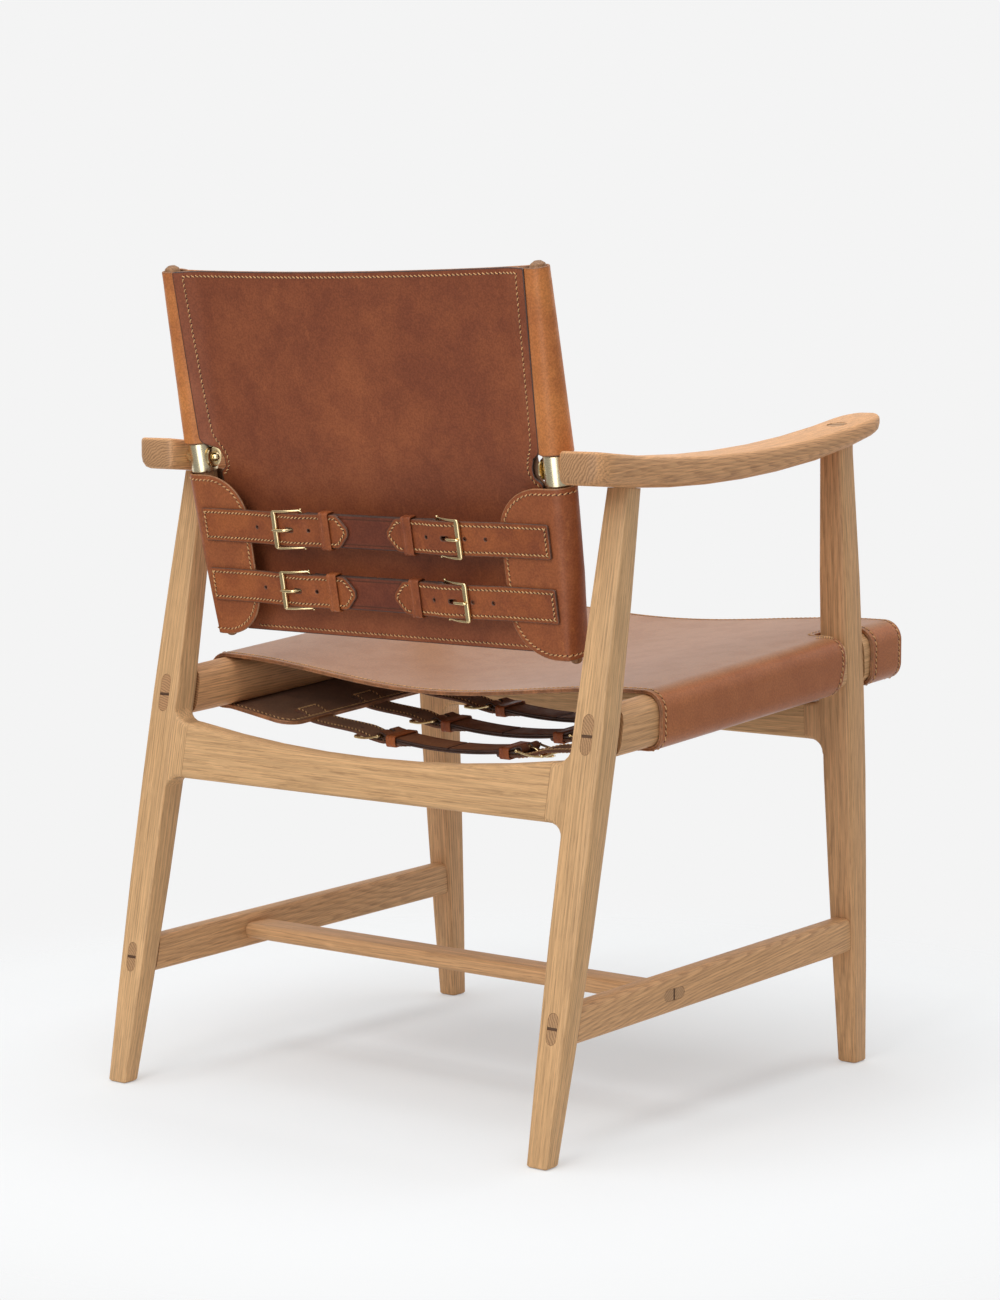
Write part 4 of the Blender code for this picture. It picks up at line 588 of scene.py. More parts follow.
@dataclass(frozen=True)
class Thread:
    """How a row is sewn: length from hole to hole, thickness of the thread and slant of each stitch."""

    pitch: float = 4.8 * MM
    gauge: float = 0.62 * MM
    slant: float = 0.9 * MM

    def sew(self, stock: MeshStock, face: Face, line: np.ndarray, height: float, closed: bool = False,
            tops: Sequence[int] = (1, -1)) -> None:
        """Sew a row along a line of the leather.

        Args:
            stock: Where thread and the holes' painted shade go.
            face: The face that the leather lies along.
            line: Places of the row on the face.
            height: Half of the leather's thickness.
            closed: Whether the row runs round to its start.
            tops: 1 for stitches on the grain side and -1 for the other.
        """
        whole = np.vstack([line, line[:1]]) if closed else line
        run = lengths(whole)
        count = max(2, int(round(run[-1] / self.pitch)))
        middles = (np.arange(count) + 0.5) * run[-1] / count
        here = read_line(whole, middles)
        ahead = read_line(whole, np.minimum(middles + 0.6 * MM, run[-1]))
        way = ahead - read_line(whole, middles - 0.6 * MM)
        way /= np.linalg.norm(way, axis=1)[:, None]
        aside = np.stack([-way[:, 1], way[:, 0]], axis=1) * self.slant
        for top in tops:
            self._stitches(stock, face, here, way * run[-1] / count * 0.34, aside, height, top)

    def sew_round(
        self, stock: MeshStock, face: Face, outline: np.ndarray, inset: float, height: float
    ) -> None:
        """Sew a row all round, inset from a cut outline."""
        ring = respaced(outline, 2 * MM)
        self.sew(stock, face, ring + inward(ring) * inset, height, closed=True)

    def _stitches(self, stock: MeshStock, face: Face, here: np.ndarray, forth: np.ndarray,
                  aside: np.ndarray, height: float, top: int) -> None:
        """Build the stitches of one face of the leather, and a dark cone of painted shade for each one's
        hole.

        Args:
            stock: Where they go.
            face: The face that the leather lies along.
            here: Middle of each stitch.
            forth: From there to the stitch's end, along the row.
            aside: How far that end lies beside the row.
            height: Half of the leather's thickness.
            top: 1 for the grain side and -1 for the other.
        """
        shares = np.array((-1.0, -0.82, -0.4, 0.4, 0.82, 1.0))
        bulge = np.array((0.3, 0.75, 1.0, 1.0, 0.75, 0.3)) * self.gauge
        lifts = np.array((-1.1, 0.15, 0.85, 0.85, 0.15, -1.1)) * self.gauge
        turns = np.radians(np.arange(0, 360, 60))
        centres, looks = [], []
        for share, lift in zip(shares, lifts):
            place = here + (forth + aside) * share
            centres.append(face.at(place, top * (height + lift)))
            looks.append(face.at(place, top * (height + lift + 1 * MM)) - centres[-1])
        centres, looks = np.array(centres), np.array(looks) / MM
        run = np.gradient(centres, axis=0)
        run /= np.linalg.norm(run, axis=2)[:, :, None]
        across = np.cross(run, looks)
        across /= np.linalg.norm(across, axis=2)[:, :, None]
        up = np.cross(across, run)
        for k in range(centres.shape[1]):
            spokes = around(turns, across[:, k], up[:, k])
            stock.add_tube(centres[:, k, None, :] + bulge[:, None, None] * spokes, Row.THREAD)
        # Painted shade: a small dark cone at each stitch's end stands for the shade inside the awl hole.
        places = here + forth * 1.45 + aside * 0.5
        low, high = face.at(places, top * (height - 0.35 * MM)), face.at(places, top * (height + 0.05 * MM))
        across = face.at(places + (0.3 * MM, 0.0), top * height) - face.at(places, top * height)
        across /= np.linalg.norm(across, axis=1)[:, None]
        up = (high - low) / np.linalg.norm(high - low, axis=1)[:, None]
        for start, end, spokes in zip(low, high, around(turns, across, np.cross(across, up))):
            stock.add_tube(np.stack([start + 0.5 * MM * spokes, end + 0.75 * MM * spokes]), Row.HOLE)


def sweep(line: np.ndarray, section: np.ndarray, up: Sequence[float], closed: bool = False) -> np.ndarray:
    """Rings of a section carried along a line.

    Args:
        line: The line's points.
        section: (sideways, upward) places of the section.
        up: Direction that the section's upward side keeps to as far as it can.
        closed: Whether the line runs round to its start.

    Returns:
        Points as (ring, place in the ring, 3).
    """
    if closed:
        run = np.roll(line, -1, axis=0) - np.roll(line, 1, axis=0)
    else:
        run = np.gradient(line, axis=0)
    run = run / np.linalg.norm(run, axis=1)[:, None]
    aside = np.cross(run, np.array(up, float))
    aside /= np.linalg.norm(aside, axis=1)[:, None]
    upward = np.cross(aside, run)
    return line[:, None, :] + section[:, :1] * aside[:, None, :] + section[:, 1:] * upward[:, None, :]


def squarish(wide: float, high: float, power: float, count: int) -> np.ndarray:
    """Section between a circle and a square.

    Args:
        wide: Half of the width.
        high: Half of the height.
        power: 2 for an ellipse, more for a squarer one.
        count: Number of points.

    Returns:
        The section's places.
    """
    turns = 2 * math.pi * (np.arange(count) + 0.5) / count
    places = np.stack([np.cos(turns), np.sin(turns)], axis=1)
    return np.sign(places) * np.abs(places) ** (2 / power) * (wide, high)


def lathe(
    profile: Sequence[Pair], start: Sequence[float], end: Sequence[float], sides: int = 40
) -> np.ndarray:
    """Rings of a turned piece.

    Args:
        profile: (place along the axis, radius) pairs.
        start: Where the axis starts.
        end: A point further along the axis.
        sides: Number of points in a ring.

    Returns:
        Points as (ring, place in the ring, 3).
    """
    base, axis = Vector(start), (Vector(end) - Vector(start)).normalized()
    first = axis.orthogonal().normalized()
    second = first.cross(axis)
    turns = [2 * math.pi * i / sides for i in range(sides)]
    spokes = [first * math.cos(t) + second * math.sin(t) for t in turns]
    return np.array([[base + axis * place + spoke * radius for spoke in spokes] for place, radius in profile])


# Finishes

def shaded(colour: Colour, *shares: float) -> Colour:
    """Colour times one share, or each of its parts times its own."""
    return tuple(min(1.0, c * s) for c, s in zip(colour, shares * 3))


@dataclass
class Bench:
    """Short way to add and join nodes in one tree."""

    tree: bpy.types.NodeTree

    def add(self, kind: str, settings: dict[str, object] | None = None, **inputs: object) -> bpy.types.Node:
        """Add a node.

        Args:
            kind: The node's type.
            settings: Properties to set on it.
            inputs: Values or sockets for its inputs, by name with _ for a space or by number after i.

        Returns:
            The node.
        """
        node = self.tree.nodes.new(kind)
        for name, value in (settings or {}).items():
            setattr(node, name, value)
        for name, value in inputs.items():
            key = int(name[1:]) if name[0] == "i" and name[1:].isdigit() else name.replace("_", " ")
            self.feed(node.inputs[key], value)
        return node

    def feed(self, socket: bpy.types.NodeSocket, value: object) -> None:
        """Link a socket to an input, or set the input's own value.

        Args:
            socket: The input.
            value: A socket, a colour or another value.
        """
        if isinstance(value, bpy.types.NodeSocket):
            self.tree.links.new(value, socket)
        elif isinstance(value, tuple) and len(value) == 3 and socket.type == "RGBA":
            socket.default_value = (*value, 1.0)
        else:
            socket.default_value = value

    def math(self, first: object, second: object, way: str = "ADD") -> object:
        """Work out one number from two."""
        return self.add("ShaderNodeMath", {"operation": way}, i0=first, i1=second).outputs[0]


class Recipe(Bench):
    """Nodes of one material."""

    def __init__(self, name: str) -> None:
        """Start a material.

        Args:
            name: The material's name.
        """
        self.material = bpy.data.materials.new(name)
        self.material.use_nodes = True
        super().__init__(self.material.node_tree)
        self.shader = self.tree.nodes["Principled BSDF"]
        self.place = self.add("ShaderNodeTexCoord").outputs["Object"]

    def noise(self, scale: float, detail: float = 3.0, rough: float = 0.5, place: object = None) -> object:
        """Cloudy noise at a scale, read at a place or at the piece's own coordinates."""
        inputs = {"Vector": place or self.place, "Scale": scale, "Detail": detail, "Roughness": rough}
        return self.add("ShaderNodeTexNoise", **inputs).outputs["Fac"]

    def spread(
        self, value: object, low: float, high: float, to_low: float = 0.0, to_high: float = 1.0
    ) -> object:
        """Stretch a span of values to another span, smoothly and with its ends held."""
        inputs = {"Value": value, "i1": low, "i2": high, "i3": to_low, "i4": to_high}
        return self.add("ShaderNodeMapRange", {"interpolation_type": "SMOOTHSTEP"}, **inputs).outputs[0]

    def mix(self, share: object, first: object, second: object, way: str = "MIX") -> object:
        """Mix two colours."""
        kind = {"data_type": "RGBA", "blend_type": way}
        return self.add("ShaderNodeMix", kind, i0=share, i6=first, i7=second).outputs[2]

    def times(self, first: object, second: object) -> object:
        """Multiply two numbers."""
        return self.math(first, second, "MULTIPLY")

    def vector(self, way: str, first: object, second: object = (0, 0, 0)) -> bpy.types.Node:
        """Add a node that works with vectors."""
        return self.add("ShaderNodeVectorMath", {"operation": way}, i0=first, i1=second)

    def part(self, vector: object, axis: str) -> object:
        """One of a vector's three numbers."""
        return self.add("ShaderNodeSeparateXYZ", Vector=vector).outputs[axis]

    def facing(self) -> object:
        """Direction that the surface faces, in the piece's own frame."""
        return self.add("ShaderNodeTexCoord").outputs["Normal"]

    def mark(self, name: str) -> object:
        """Value that the mesh carries under a name."""
        return self.add("ShaderNodeAttribute", {"attribute_name": name}).outputs["Fac"]

    def stretched(self, stretch: Triple, turn: Triple = (0, 0, 0), shift: Triple = (0, 0, 0)) -> object:
        """The piece's coordinates, shifted, turned and then stretched."""
        turned = self.add("ShaderNodeMapping", {"vector_type": "TEXTURE"}, i0=self.place, i1=shift, i2=turn)
        return self.vector("MULTIPLY", turned.outputs[0], stretch).outputs[0]

    def bump(self, height: object, distance: float, strength: float, under: object = None) -> object:
        """Turn a height into a slope of the surface.

        Args:
            height: The height.
            distance: How far the surface rises, in metres, where the height is 1.
            strength: Share of the slope that counts.
            under: A slope that this one is added to.

        Returns:
            The slope.
        """
        made = self.add("ShaderNodeBump", Height=height, Distance=distance, Strength=strength)
        if under is not None:
            self.feed(made.inputs["Normal"], under)
        return made.outputs[0]

    def done(self, **inputs: object) -> bpy.types.Material:
        """Join the last sockets to the shader.

        Args:
            inputs: Values or sockets for the shader's inputs, by name with _ for a space.

        Returns:
            The material.
        """
        for name, value in inputs.items():
            self.feed(self.shader.inputs[name.replace("_", " ")], value)
        return self.material


@dataclass(frozen=True)
class GrainLeather:
    """Vegetable-tanned leather's waxed grain side, mottled, with darker worked edges.

    Where lower is given, it takes the leather's place except high up on the posts: painted light and shade,
    the leather's own colour kept as a lit strip there and the darker lower colour painted as shade elsewhere.
    Where upper is given, a paler colour takes the leather's place on faces that look up: a painted sheen.
    """

    name: str
    colour: Colour
    dark: Colour
    edge: Colour
    gloss: float = 0.42
    # Darkening along seams and creases: partly the creasing tool's darkened line, partly painted shade in the
    # groove.
    groove: float = 0.3
    sheen: float = 0.22
    mottle: float = 1.0
    wax: float = 0.0
    bloom: float = 0.0
    lower: Colour | None = None
    upper: Colour | None = None
    lit_strip_height: Pair = (0.60, 0.64)
    lit_strip_aside: Pair = (0.178, 0.197)

    def make(self) -> bpy.types.Material:
        """Build the material.

        Returns:
            The material.
        """
        r = Recipe(self.name)
        clouds = r.spread(r.noise(6, 4, 0.6), 0.36, 0.64)
        blotches = r.spread(r.noise(34, 5, 0.65), 0.38, 0.66)
        pores = r.noise(520, 3, 0.6)
        base = r.mix(clouds, self.colour, self.dark)
        # Painted light and shade: the own colour stays only on a lit strip high up on the posts, and the
        # lower colour is painted shade elsewhere.
        if self.lower:
            high = r.spread(r.part(r.place, "Z"), *self.lit_strip_height)
            aside = r.math(r.part(r.place, "X"), 0.0, "ABSOLUTE")
            lit_strip = r.times(high, r.spread(aside, *self.lit_strip_aside))
            base = r.mix(r.math(0.9, lit_strip, "SUBTRACT"), base, self.lower)
        # Painted sheen: faces that look up turn paler and greyer.
        if self.upper:
            level = r.spread(r.part(r.facing(), "Z"), 0.70, 0.97, 0.0, 0.9)
            base = r.mix(level, base, self.upper)
        deep = r.mix(1.0, base, (0.68, 0.58, 0.58), "MULTIPLY")
        base = r.mix(r.spread(blotches, 0.0, 1.0, 0.0, 0.6 * self.mottle), base, deep)
        streaks = r.spread(r.noise(95, 4, 0.7, r.stretched((1, 1, 0.4))), 0.56, 0.72)
        base = r.mix(r.times(streaks, 0.3 * self.mottle), base, shaded(self.colour, 1.3))
        fine = r.spread(pores, 0.35, 0.65, 0.86, 1.12)
        base = r.mix(1.0, base, fine, "MULTIPLY")
        worn = r.spread(r.noise(60, 3, 0.6), 0.3, 0.7, 0.55, 1.0)
        base = r.mix(r.times(r.mark("rim"), worn), base, self.edge)
        # Seams and creases darken towards the edge colour: partly the creasing tool's darkened line, partly
        # painted shade in the groove.
        base = r.mix(r.times(r.mark("crease"), self.groove), base, self.edge)
        pebbles = r.add("ShaderNodeTexVoronoi", Vector=r.place, Scale=700.0).outputs["Distance"]
        slope = r.bump(pebbles, 0.00010, 0.3)
        slope = r.bump(r.noise(60, 3, 0.5), 0.0003, 0.12 * self.mottle, slope)
        uneven = 0.07 * self.mottle
        rough = r.spread(blotches, 0.0, 1.0, self.gloss - uneven, self.gloss + uneven)
        rough = r.math(rough, r.times(pores, 0.08))
        return r.done(Base_Color=base, Roughness=rough, Normal=slope, Specular_IOR_Level=self.sheen,
                      Coat_Weight=self.wax, Coat_Roughness=0.36,
                      Sheen_Weight=self.bloom, Sheen_Roughness=0.32)


@dataclass(frozen=True)
class FleshLeather:
    """The brushed inner side of the leather."""

    name: str = "flesh_side"
    colour: Colour = (0.26, 0.125, 0.062)

    def make(self) -> bpy.types.Material:
        """Build the material.

        Returns:
            The material.
        """
        r = Recipe(self.name)
        nap = r.noise(420, 5, 0.7)
        patches = r.spread(r.noise(25, 4, 0.6), 0.3, 0.7, 0.78, 1.12)
        base = r.mix(r.spread(nap, 0.3, 0.7), shaded(self.colour, 0.75), self.colour)
        base = r.mix(1.0, base, patches, "MULTIPLY")
        return r.done(Base_Color=base, Roughness=0.92, Normal=r.bump(nap, 0.0006, 0.5))


@dataclass(frozen=True)
class WorkedEdge:
    """Cut edge of leather, dyed and rubbed smooth with wax."""

    name: str
    colour: Colour

    def make(self) -> bpy.types.Material:
        """Build the material.

        Returns:
            The material.
        """
        r = Recipe(self.name)
        fibre = r.spread(r.noise(300, 4, 0.7), 0.3, 0.7, 0.7, 1.2)
        patches = r.spread(r.noise(45, 3, 0.6), 0.3, 0.7)
        base = r.mix(patches, self.colour, shaded(self.colour, 0.6))
        base = r.mix(1.0, base, fibre, "MULTIPLY")
        return r.done(Base_Color=base, Roughness=0.5, Normal=r.bump(fibre, 0.0002, 0.3))


@dataclass(frozen=True)
class LinenThread:
    """Waxed linen thread, laid in a tight twist."""

    name: str = "linen_thread"
    colour: Colour = (0.84, 0.49, 0.21)

    def make(self) -> bpy.types.Material:
        """Build the material.

        Returns:
            The material.
        """
        r = Recipe(self.name)
        tone = r.spread(r.noise(140, 2, 0.5), 0.3, 0.7, 0.75, 1.1)
        twist = r.noise(2600, 2, 0.5)
        base = r.mix(r.spread(twist, 0.35, 0.65), shaded(self.colour, 0.7), self.colour)
        base = r.mix(1.0, base, tone, "MULTIPLY")
        return r.done(Base_Color=base, Roughness=0.6, Normal=r.bump(twist, 0.0002, 0.5))


@dataclass(frozen=True)
class HoleShade:
    """Painted shade for the inside of a punched hole or an awl hole: a near-black finish."""

    name: str = "punched_hole"
    colour: Colour = (0.045, 0.018, 0.010)

    def make(self) -> bpy.types.Material:
        """Build the material.

        Returns:
            The material.
        """
        r = Recipe(self.name)
        base = r.mix(r.noise(500, 2, 0.5), self.colour, shaded(self.colour, 0.4))
        return r.done(Base_Color=base, Roughness=0.85)


@dataclass(frozen=True)
class PolishedBrass:
    """Solid brass, polished or brushed, a little dull in its hollows."""

    name: str
    colour: Colour
    gloss: float
    wear: float = 0.6

    def make(self) -> bpy.types.Material:
        """Build the material.

        Returns:
            The material.
        """
        r = Recipe(self.name)
        tarnish = r.spread(r.noise(70, 4, 0.6), 0.4, 0.75)
        brushed = r.noise(300, 3, 0.6, r.stretched((1, 1, 9)))
        base = r.mix(r.times(tarnish, self.wear), self.colour, shaded(self.colour, 0.55, 0.50, 0.38))
        rough = r.spread(tarnish, 0, 1, self.gloss, self.gloss + 0.1 * self.wear)
        rough = r.math(rough, r.times(brushed, 0.05))
        return r.done(Base_Color=base, Metallic=1.0, Roughness=rough, Normal=r.bump(brushed, 0.00003, 0.06))


@dataclass(frozen=True)
class OiledOak:
    """Oak under a matt oil: growth rings round the tree's middle, open pores and ray flecks.

    The grain runs along the piece's own direction, given as the turn that brings the tree's upright
    axis there. The middle of the tree lies beside the piece, at shift.
    """

    name: str
    turn: Triple
    shift: Triple
    light: Colour = (0.735, 0.450, 0.222)
    dark: Colour = (0.455, 0.240, 0.100)
    rings: float = 380.0
    figure: float = 0.34
    cone: float = 0.012
    wild: float = 0.010

    def make(self) -> bpy.types.Material:
        """Build the material.

        Returns:
            The material.
        """
        r = Recipe(self.name)
        early = self.early_wood(r)
        coarse = r.spread(r.noise(1350, 2, 0.5, self.grain(r, 0.022)), 0.50, 0.64)
        fine = r.spread(r.noise(2300, 2, 0.5, self.grain(r, 0.03)), 0.50, 0.66)
        open_share = r.math(r.times(early, 0.6), 0.4)
        pores = r.times(r.times(r.math(coarse, fine, "MAXIMUM"), 0.85), open_share)
        fibre = r.noise(620, 3, 0.6, self.grain(r, 0.014))
        broad = r.spread(r.noise(6.0, 3, 0.5, self.grain(r, 0.3)), 0.3, 0.7)
        flecks = r.spread(r.noise(160, 2, 0.5, self.grain(r, 0.12, 0.35)), 0.62, 0.70)
        base = r.mix(r.times(early, self.figure), self.light, self.dark)
        base = r.mix(r.times(broad, 0.4), base, shaded(self.light, 0.84, 0.76, 0.66))
        base = r.mix(1.0, base, r.spread(fibre, 0.3, 0.7, 0.80, 1.13), "MULTIPLY")
        base = r.mix(r.times(flecks, 0.35), base, shaded(self.light, 1.2))
        base = r.mix(r.times(pores, 0.52), base, shaded(self.dark, 0.45))
        way = tuple(Euler(self.turn).to_matrix() @ Vector((0, 0, 1)))
        ends = r.math(r.vector("DOT_PRODUCT", r.facing(), way).outputs["Value"], 0.0, "ABSOLUTE")
        end_grain = r.mix(r.times(early, 0.8), shaded(self.light, 0.58), (0.13, 0.062, 0.028))
        base = r.mix(r.spread(ends, 0.78, 0.93, 0.0, 0.6), base, end_grain)
        rough = r.math(r.times(fibre, 0.12), 0.46)
        slope = r.bump(r.math(r.times(pores, -1.0), r.times(fibre, 0.25)), 0.00012, 0.4)
        return r.done(Base_Color=base, Roughness=rough, Normal=slope, Specular_IOR_Level=0.3)

    def grain(self, r: Recipe, along_grain: float, across: float = 1) -> object:
        """The piece's coordinates in the tree's frame, stretched along the grain and across it."""
        return r.stretched((across, 1, along_grain), self.turn, self.shift)

    def early_wood(self, r: Recipe) -> object:
        """Growth rings: how much of the open early wood shows.

        Args:
            r: The material's recipe.

        Returns:
            A socket that reads 0 in late wood and 1 in early wood.
        """
        wander = r.noise(3.0, 2, 0.5, self.grain(r, 0.35))
        aside = r.add("ShaderNodeCombineXYZ", X=r.times(wander, 0.05), Y=r.times(wander, -0.04)).outputs[0]
        pushed = r.vector("ADD", self.grain(r, 1), aside).outputs[0]
        flat = r.vector("MULTIPLY", pushed, (1, 1, 0)).outputs[0]
        reach = r.math(r.vector("LENGTH", flat).outputs["Value"], r.times(r.part(pushed, "Z"), self.cone))
        ripple = r.times(r.noise(18, 4, 0.6, self.grain(r, 0.5 * math.sqrt(self.wild))), self.wild)
        ring = r.math(r.times(r.math(reach, ripple), self.rings), 1.0, "FRACT")
        return r.times(r.spread(ring, 0.0, 0.12), r.spread(ring, 0.22, 0.75, 1.0, 0.0))


@dataclass
class Finishes:
    """Every finish on the chair, made once."""

    def __post_init__(self) -> None:
        """Make the leathers, thread and brass."""
        edge = (0.075, 0.028, 0.014)
        self.panel = GrainLeather(
            "panel_leather", (0.335, 0.099, 0.038), (0.250, 0.069, 0.029), edge, mottle=0.75).make()
        # Sleeve leather: its lower colour is painted shade, and its own paler colour is a painted lit strip
        # high up on the posts.
        self.sleeve = GrainLeather(
            "sleeve_leather", (0.64, 0.240, 0.068), (0.52, 0.175, 0.053), edge, mottle=0.7,
            lower=(0.325, 0.092, 0.032)).make()
        self.strap = GrainLeather(
            "strap_leather", (0.405, 0.120, 0.036), (0.270, 0.073, 0.026), edge, gloss=0.40).make()
        self.belt = GrainLeather(
            "belt_leather", (0.225, 0.058, 0.027), (0.150, 0.039, 0.020), edge, groove=0.9).make()
        # Seat leather: its upper colour is a painted sheen on faces that look up.
        self.seat = GrainLeather(
            "seat_leather", (0.425, 0.139, 0.041), (0.372, 0.115, 0.034), edge, sheen=0.16, mottle=0.35,
            wax=0.12, bloom=0.42, upper=(0.365, 0.163, 0.066)).make()
        self.under = GrainLeather(
            "under_leather", (0.330, 0.138, 0.066), (0.220, 0.085, 0.042), edge, gloss=0.55).make()
        self.flesh = FleshLeather().make()
        self.dark_edge = WorkedEdge("dark_edge", (0.070, 0.026, 0.014)).make()
        self.tan_edge = WorkedEdge("tan_edge", (0.43, 0.18, 0.07)).make()
        self.strap_edge = WorkedEdge("strap_edge", (0.17, 0.062, 0.028)).make()
        self.thread = LinenThread().make()
        # Painted shade for the awl holes at the stitches' ends.
        self.hole = HoleShade().make()
        self.buckle = PolishedBrass("buckle_brass", (0.80, 0.63, 0.35), gloss=0.16).make()
        self.sleeve_brass = PolishedBrass("sleeve_brass", (0.84, 0.73, 0.49), gloss=0.25, wear=0.1).make()


def settle(piece: bpy.types.Object, body: str, slot: str, *nodes: str) -> bpy.types.Object:
    """Tie a finished piece to its body, and hide the plain solids that it stands for.

    Args:
        piece: The piece.
        body: Name of the body that it moves with.
        slot: Name of the record's finish, which is not used.
        nodes: Names of the solids.

    Returns:
        The piece.
    """
    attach(piece, body)
    if nodes:
        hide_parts(*nodes)
    LOG.info("%s rides on %s, %d points", piece.name, body, len(piece.data.vertices))
    return piece


# The tilting back

@dataclass
class BackSling:
    """Back leather on its two posts: a front sheet round the posts and a rear panel sewn onto it.

    Its own frame has X across, Y rearward and Z up along the posts, with the origin between the bolts.
    """

    done: Finishes
    place: Matrix
    leather: float = 2.0 * MM
    margin: float = 1 * MM
    spacing: float = 3.6 * MM
    panel_lift: float = 2.4 * MM
    top: float = 186 * MM
    top_dip: float = 3 * MM
    bottom: float = -178 * MM
    flap_out: float = 16.0 * MM
    flap_edge: float = 157 * MM
    flap_corner: Pair = (50 * MM, 45 * MM)
    gap_half: float = 15.0 * MM
    notch: float = 190 * MM
    seam: float = 200 * MM
    panel_edge: float = 211.5 * MM
    panel_forward: float = 8 * MM
    seam_inset: float = 5 * MM

    def post_x(self, w: float) -> float:
        """Centre of the post at a place along the back."""
        return POST_SPREAD + POST_SPLAY * w

    def wrap_radius(self, w: float) -> float:
        """Outside of the leather round the post."""
        low, middle = (self.bottom, 8 * MM), (self.bottom * 0.55, 14.5 * MM)
        return along((low, middle, (0, 16.8 * MM), (self.top, 10.4 * MM)), w)

    def front_out(self, w: float) -> float:
        """Middle of the front layer between the posts."""
        return -self.leather / 4 - self.panel_forward * (1 - ease(w, self.bottom / 3, self.top / 6))

    def wrap_line(self, w: float, upper: bool) -> tuple[np.ndarray, float, float]:
        """Line of the front sheet from the middle outward and round the post.

        Args:
            w: Place along the back.
            upper: Whether the sheet closes on the panel there, or ends in a free flap.

        Returns:
            The line's points as (across, rearward), the distance along it to the back of the post, and
            the distance to its end.
        """
        radius = self.wrap_radius(w) - self.leather / 2
        depth = radius if upper else self.flap_out - self.leather / 2
        front, centre = self.front_out(w), self.post_x(w)
        flat = [(self.notch * s, front) for s in (0, 0.5, 0.9)]
        flat += [(centre - 20 * MM, front * 0.9 - depth * 0.12),
                 (centre - 12 * MM, front * 0.28 - depth * 0.72), (centre - 3 * MM, -depth - 1.1 * MM)]
        flat = soft_line(flat, 4)
        turns = np.radians(np.arange(-88, 90, 6.0))
        stand = np.where(turns < 0, depth + 1.2 * MM * np.clip(-turns / 0.5, 0, 1), depth)
        wrap = np.stack([centre + radius * np.cos(turns), stand * np.sin(turns)], axis=1)
        if upper:
            end = (self.seam, front + self.leather + 0.3 * MM)
        else:
            end = (self.flap_edge - 2 * MM, depth)
        between = (centre * 0.7 + end[0] * 0.3, depth * 0.97 + end[1] * 0.03)
        rear = soft_line([(centre, depth), between, end], 3)
        line = np.vstack([flat, wrap, rear])
        run = lengths(line)
        return line, float(run[len(flat) + len(wrap)]), float(run[-1])

    def front_face(self) -> tuple[Face, Reading]:
        """Face of the front sheet.

        Returns:
            The face, and a reading of how far along it the back of the post lies at each height.
        """
        lower = np.linspace(self.bottom - self.margin, -0.2 * MM, 60)
        rows = np.concatenate([lower, np.linspace(0.2 * MM, self.top + self.margin, 62)])
        across = np.linspace(-345 * MM, 345 * MM, 461)
        lines = [self.wrap_line(w, w > 0) for w in rows]
        face = self.face_along(rows, across, [line for line, _, _ in lines])
        return face, lambda w: float(np.interp(w, rows, [behind for _, behind, _ in lines]))

    def face_along(
        self, rows: np.ndarray, across: np.ndarray, lines: Sequence[np.ndarray], facing: float = 1.0
    ) -> Face:
        """Face through a line at each height, mirrored to the other side of the back.

        Args:
            rows: Heights of the lines.
            across: Places along the lines that are read.
            lines: The lines' points as (across, rearward).
            facing: 1 or -1, for the way that the grain side faces.

        Returns:
            The face.
        """
        table = []
        for w, line in zip(rows, lines):
            x, y = read_line(line, np.abs(across)).T
            table.append(np.stack([np.sign(across) * x, y, w - self.dip(x, w)], axis=1))
        return Face(across, rows, moved(np.array(table), self.place), facing)

    def dip(self, x: np.ndarray, w: float) -> np.ndarray:
        """How much lower the top edge hangs towards the middle."""
        low = self.top_dip * ease(w, self.top * 0.62, self.top)
        return np.maximum(low * (1 - (x / self.seam) ** 2), 0.0)

    def flap_end(self, w: float) -> float:
        """Free edge of the rear flap: a D outline."""
        near = max(1 - min(-self.gap_half - w, w - self.bottom) / self.flap_corner[1], 0.0)
        return self.flap_edge + self.flap_corner[0] * (1 - math.sqrt(max(1 - near * near, 0.0)))

    def front_outline(self, behind: Reading) -> tuple[np.ndarray, np.ndarray]:
        """Cut of the front sheet.

        Args:
            behind: Reading of where the back of the post lies along the sheet.

        Returns:
            The outline, and the left flap's free edge from top to bottom.
        """
        corner, high, low = self.flap_corner[1], -self.gap_half, self.bottom
        bend = corner * (1 - np.cos(np.linspace(0, math.pi / 2, 22)))
        between = np.linspace(high - corner - 3 * MM, low + corner + 3 * MM, 12)
        heights = np.concatenate([high - bend, between, (low + bend)[::-1]])
        edge = np.array([(behind(w) + self.post_x(w) - self.flap_end(w), w) for w in heights])
        near = self.notch + 6.5 * MM
        start, end = [self.wrap_line(w, True)[2] for w in (self.gap_half, self.top)]
        upper = [(near, -self.gap_half, 5 * MM), (near, self.gap_half, 5 * MM),
                 (start, self.gap_half, 1 * MM), (end, self.top, 1 * MM), (0, self.top, 0)]
        # The first corner only leads into the rounding of the next one.
        left = np.vstack([edge[::-1], fillet([(0.5, -self.gap_half, 0)] + upper)[1:]])
        return np.vstack([left, left[::-1] * (-1, 1)]), edge

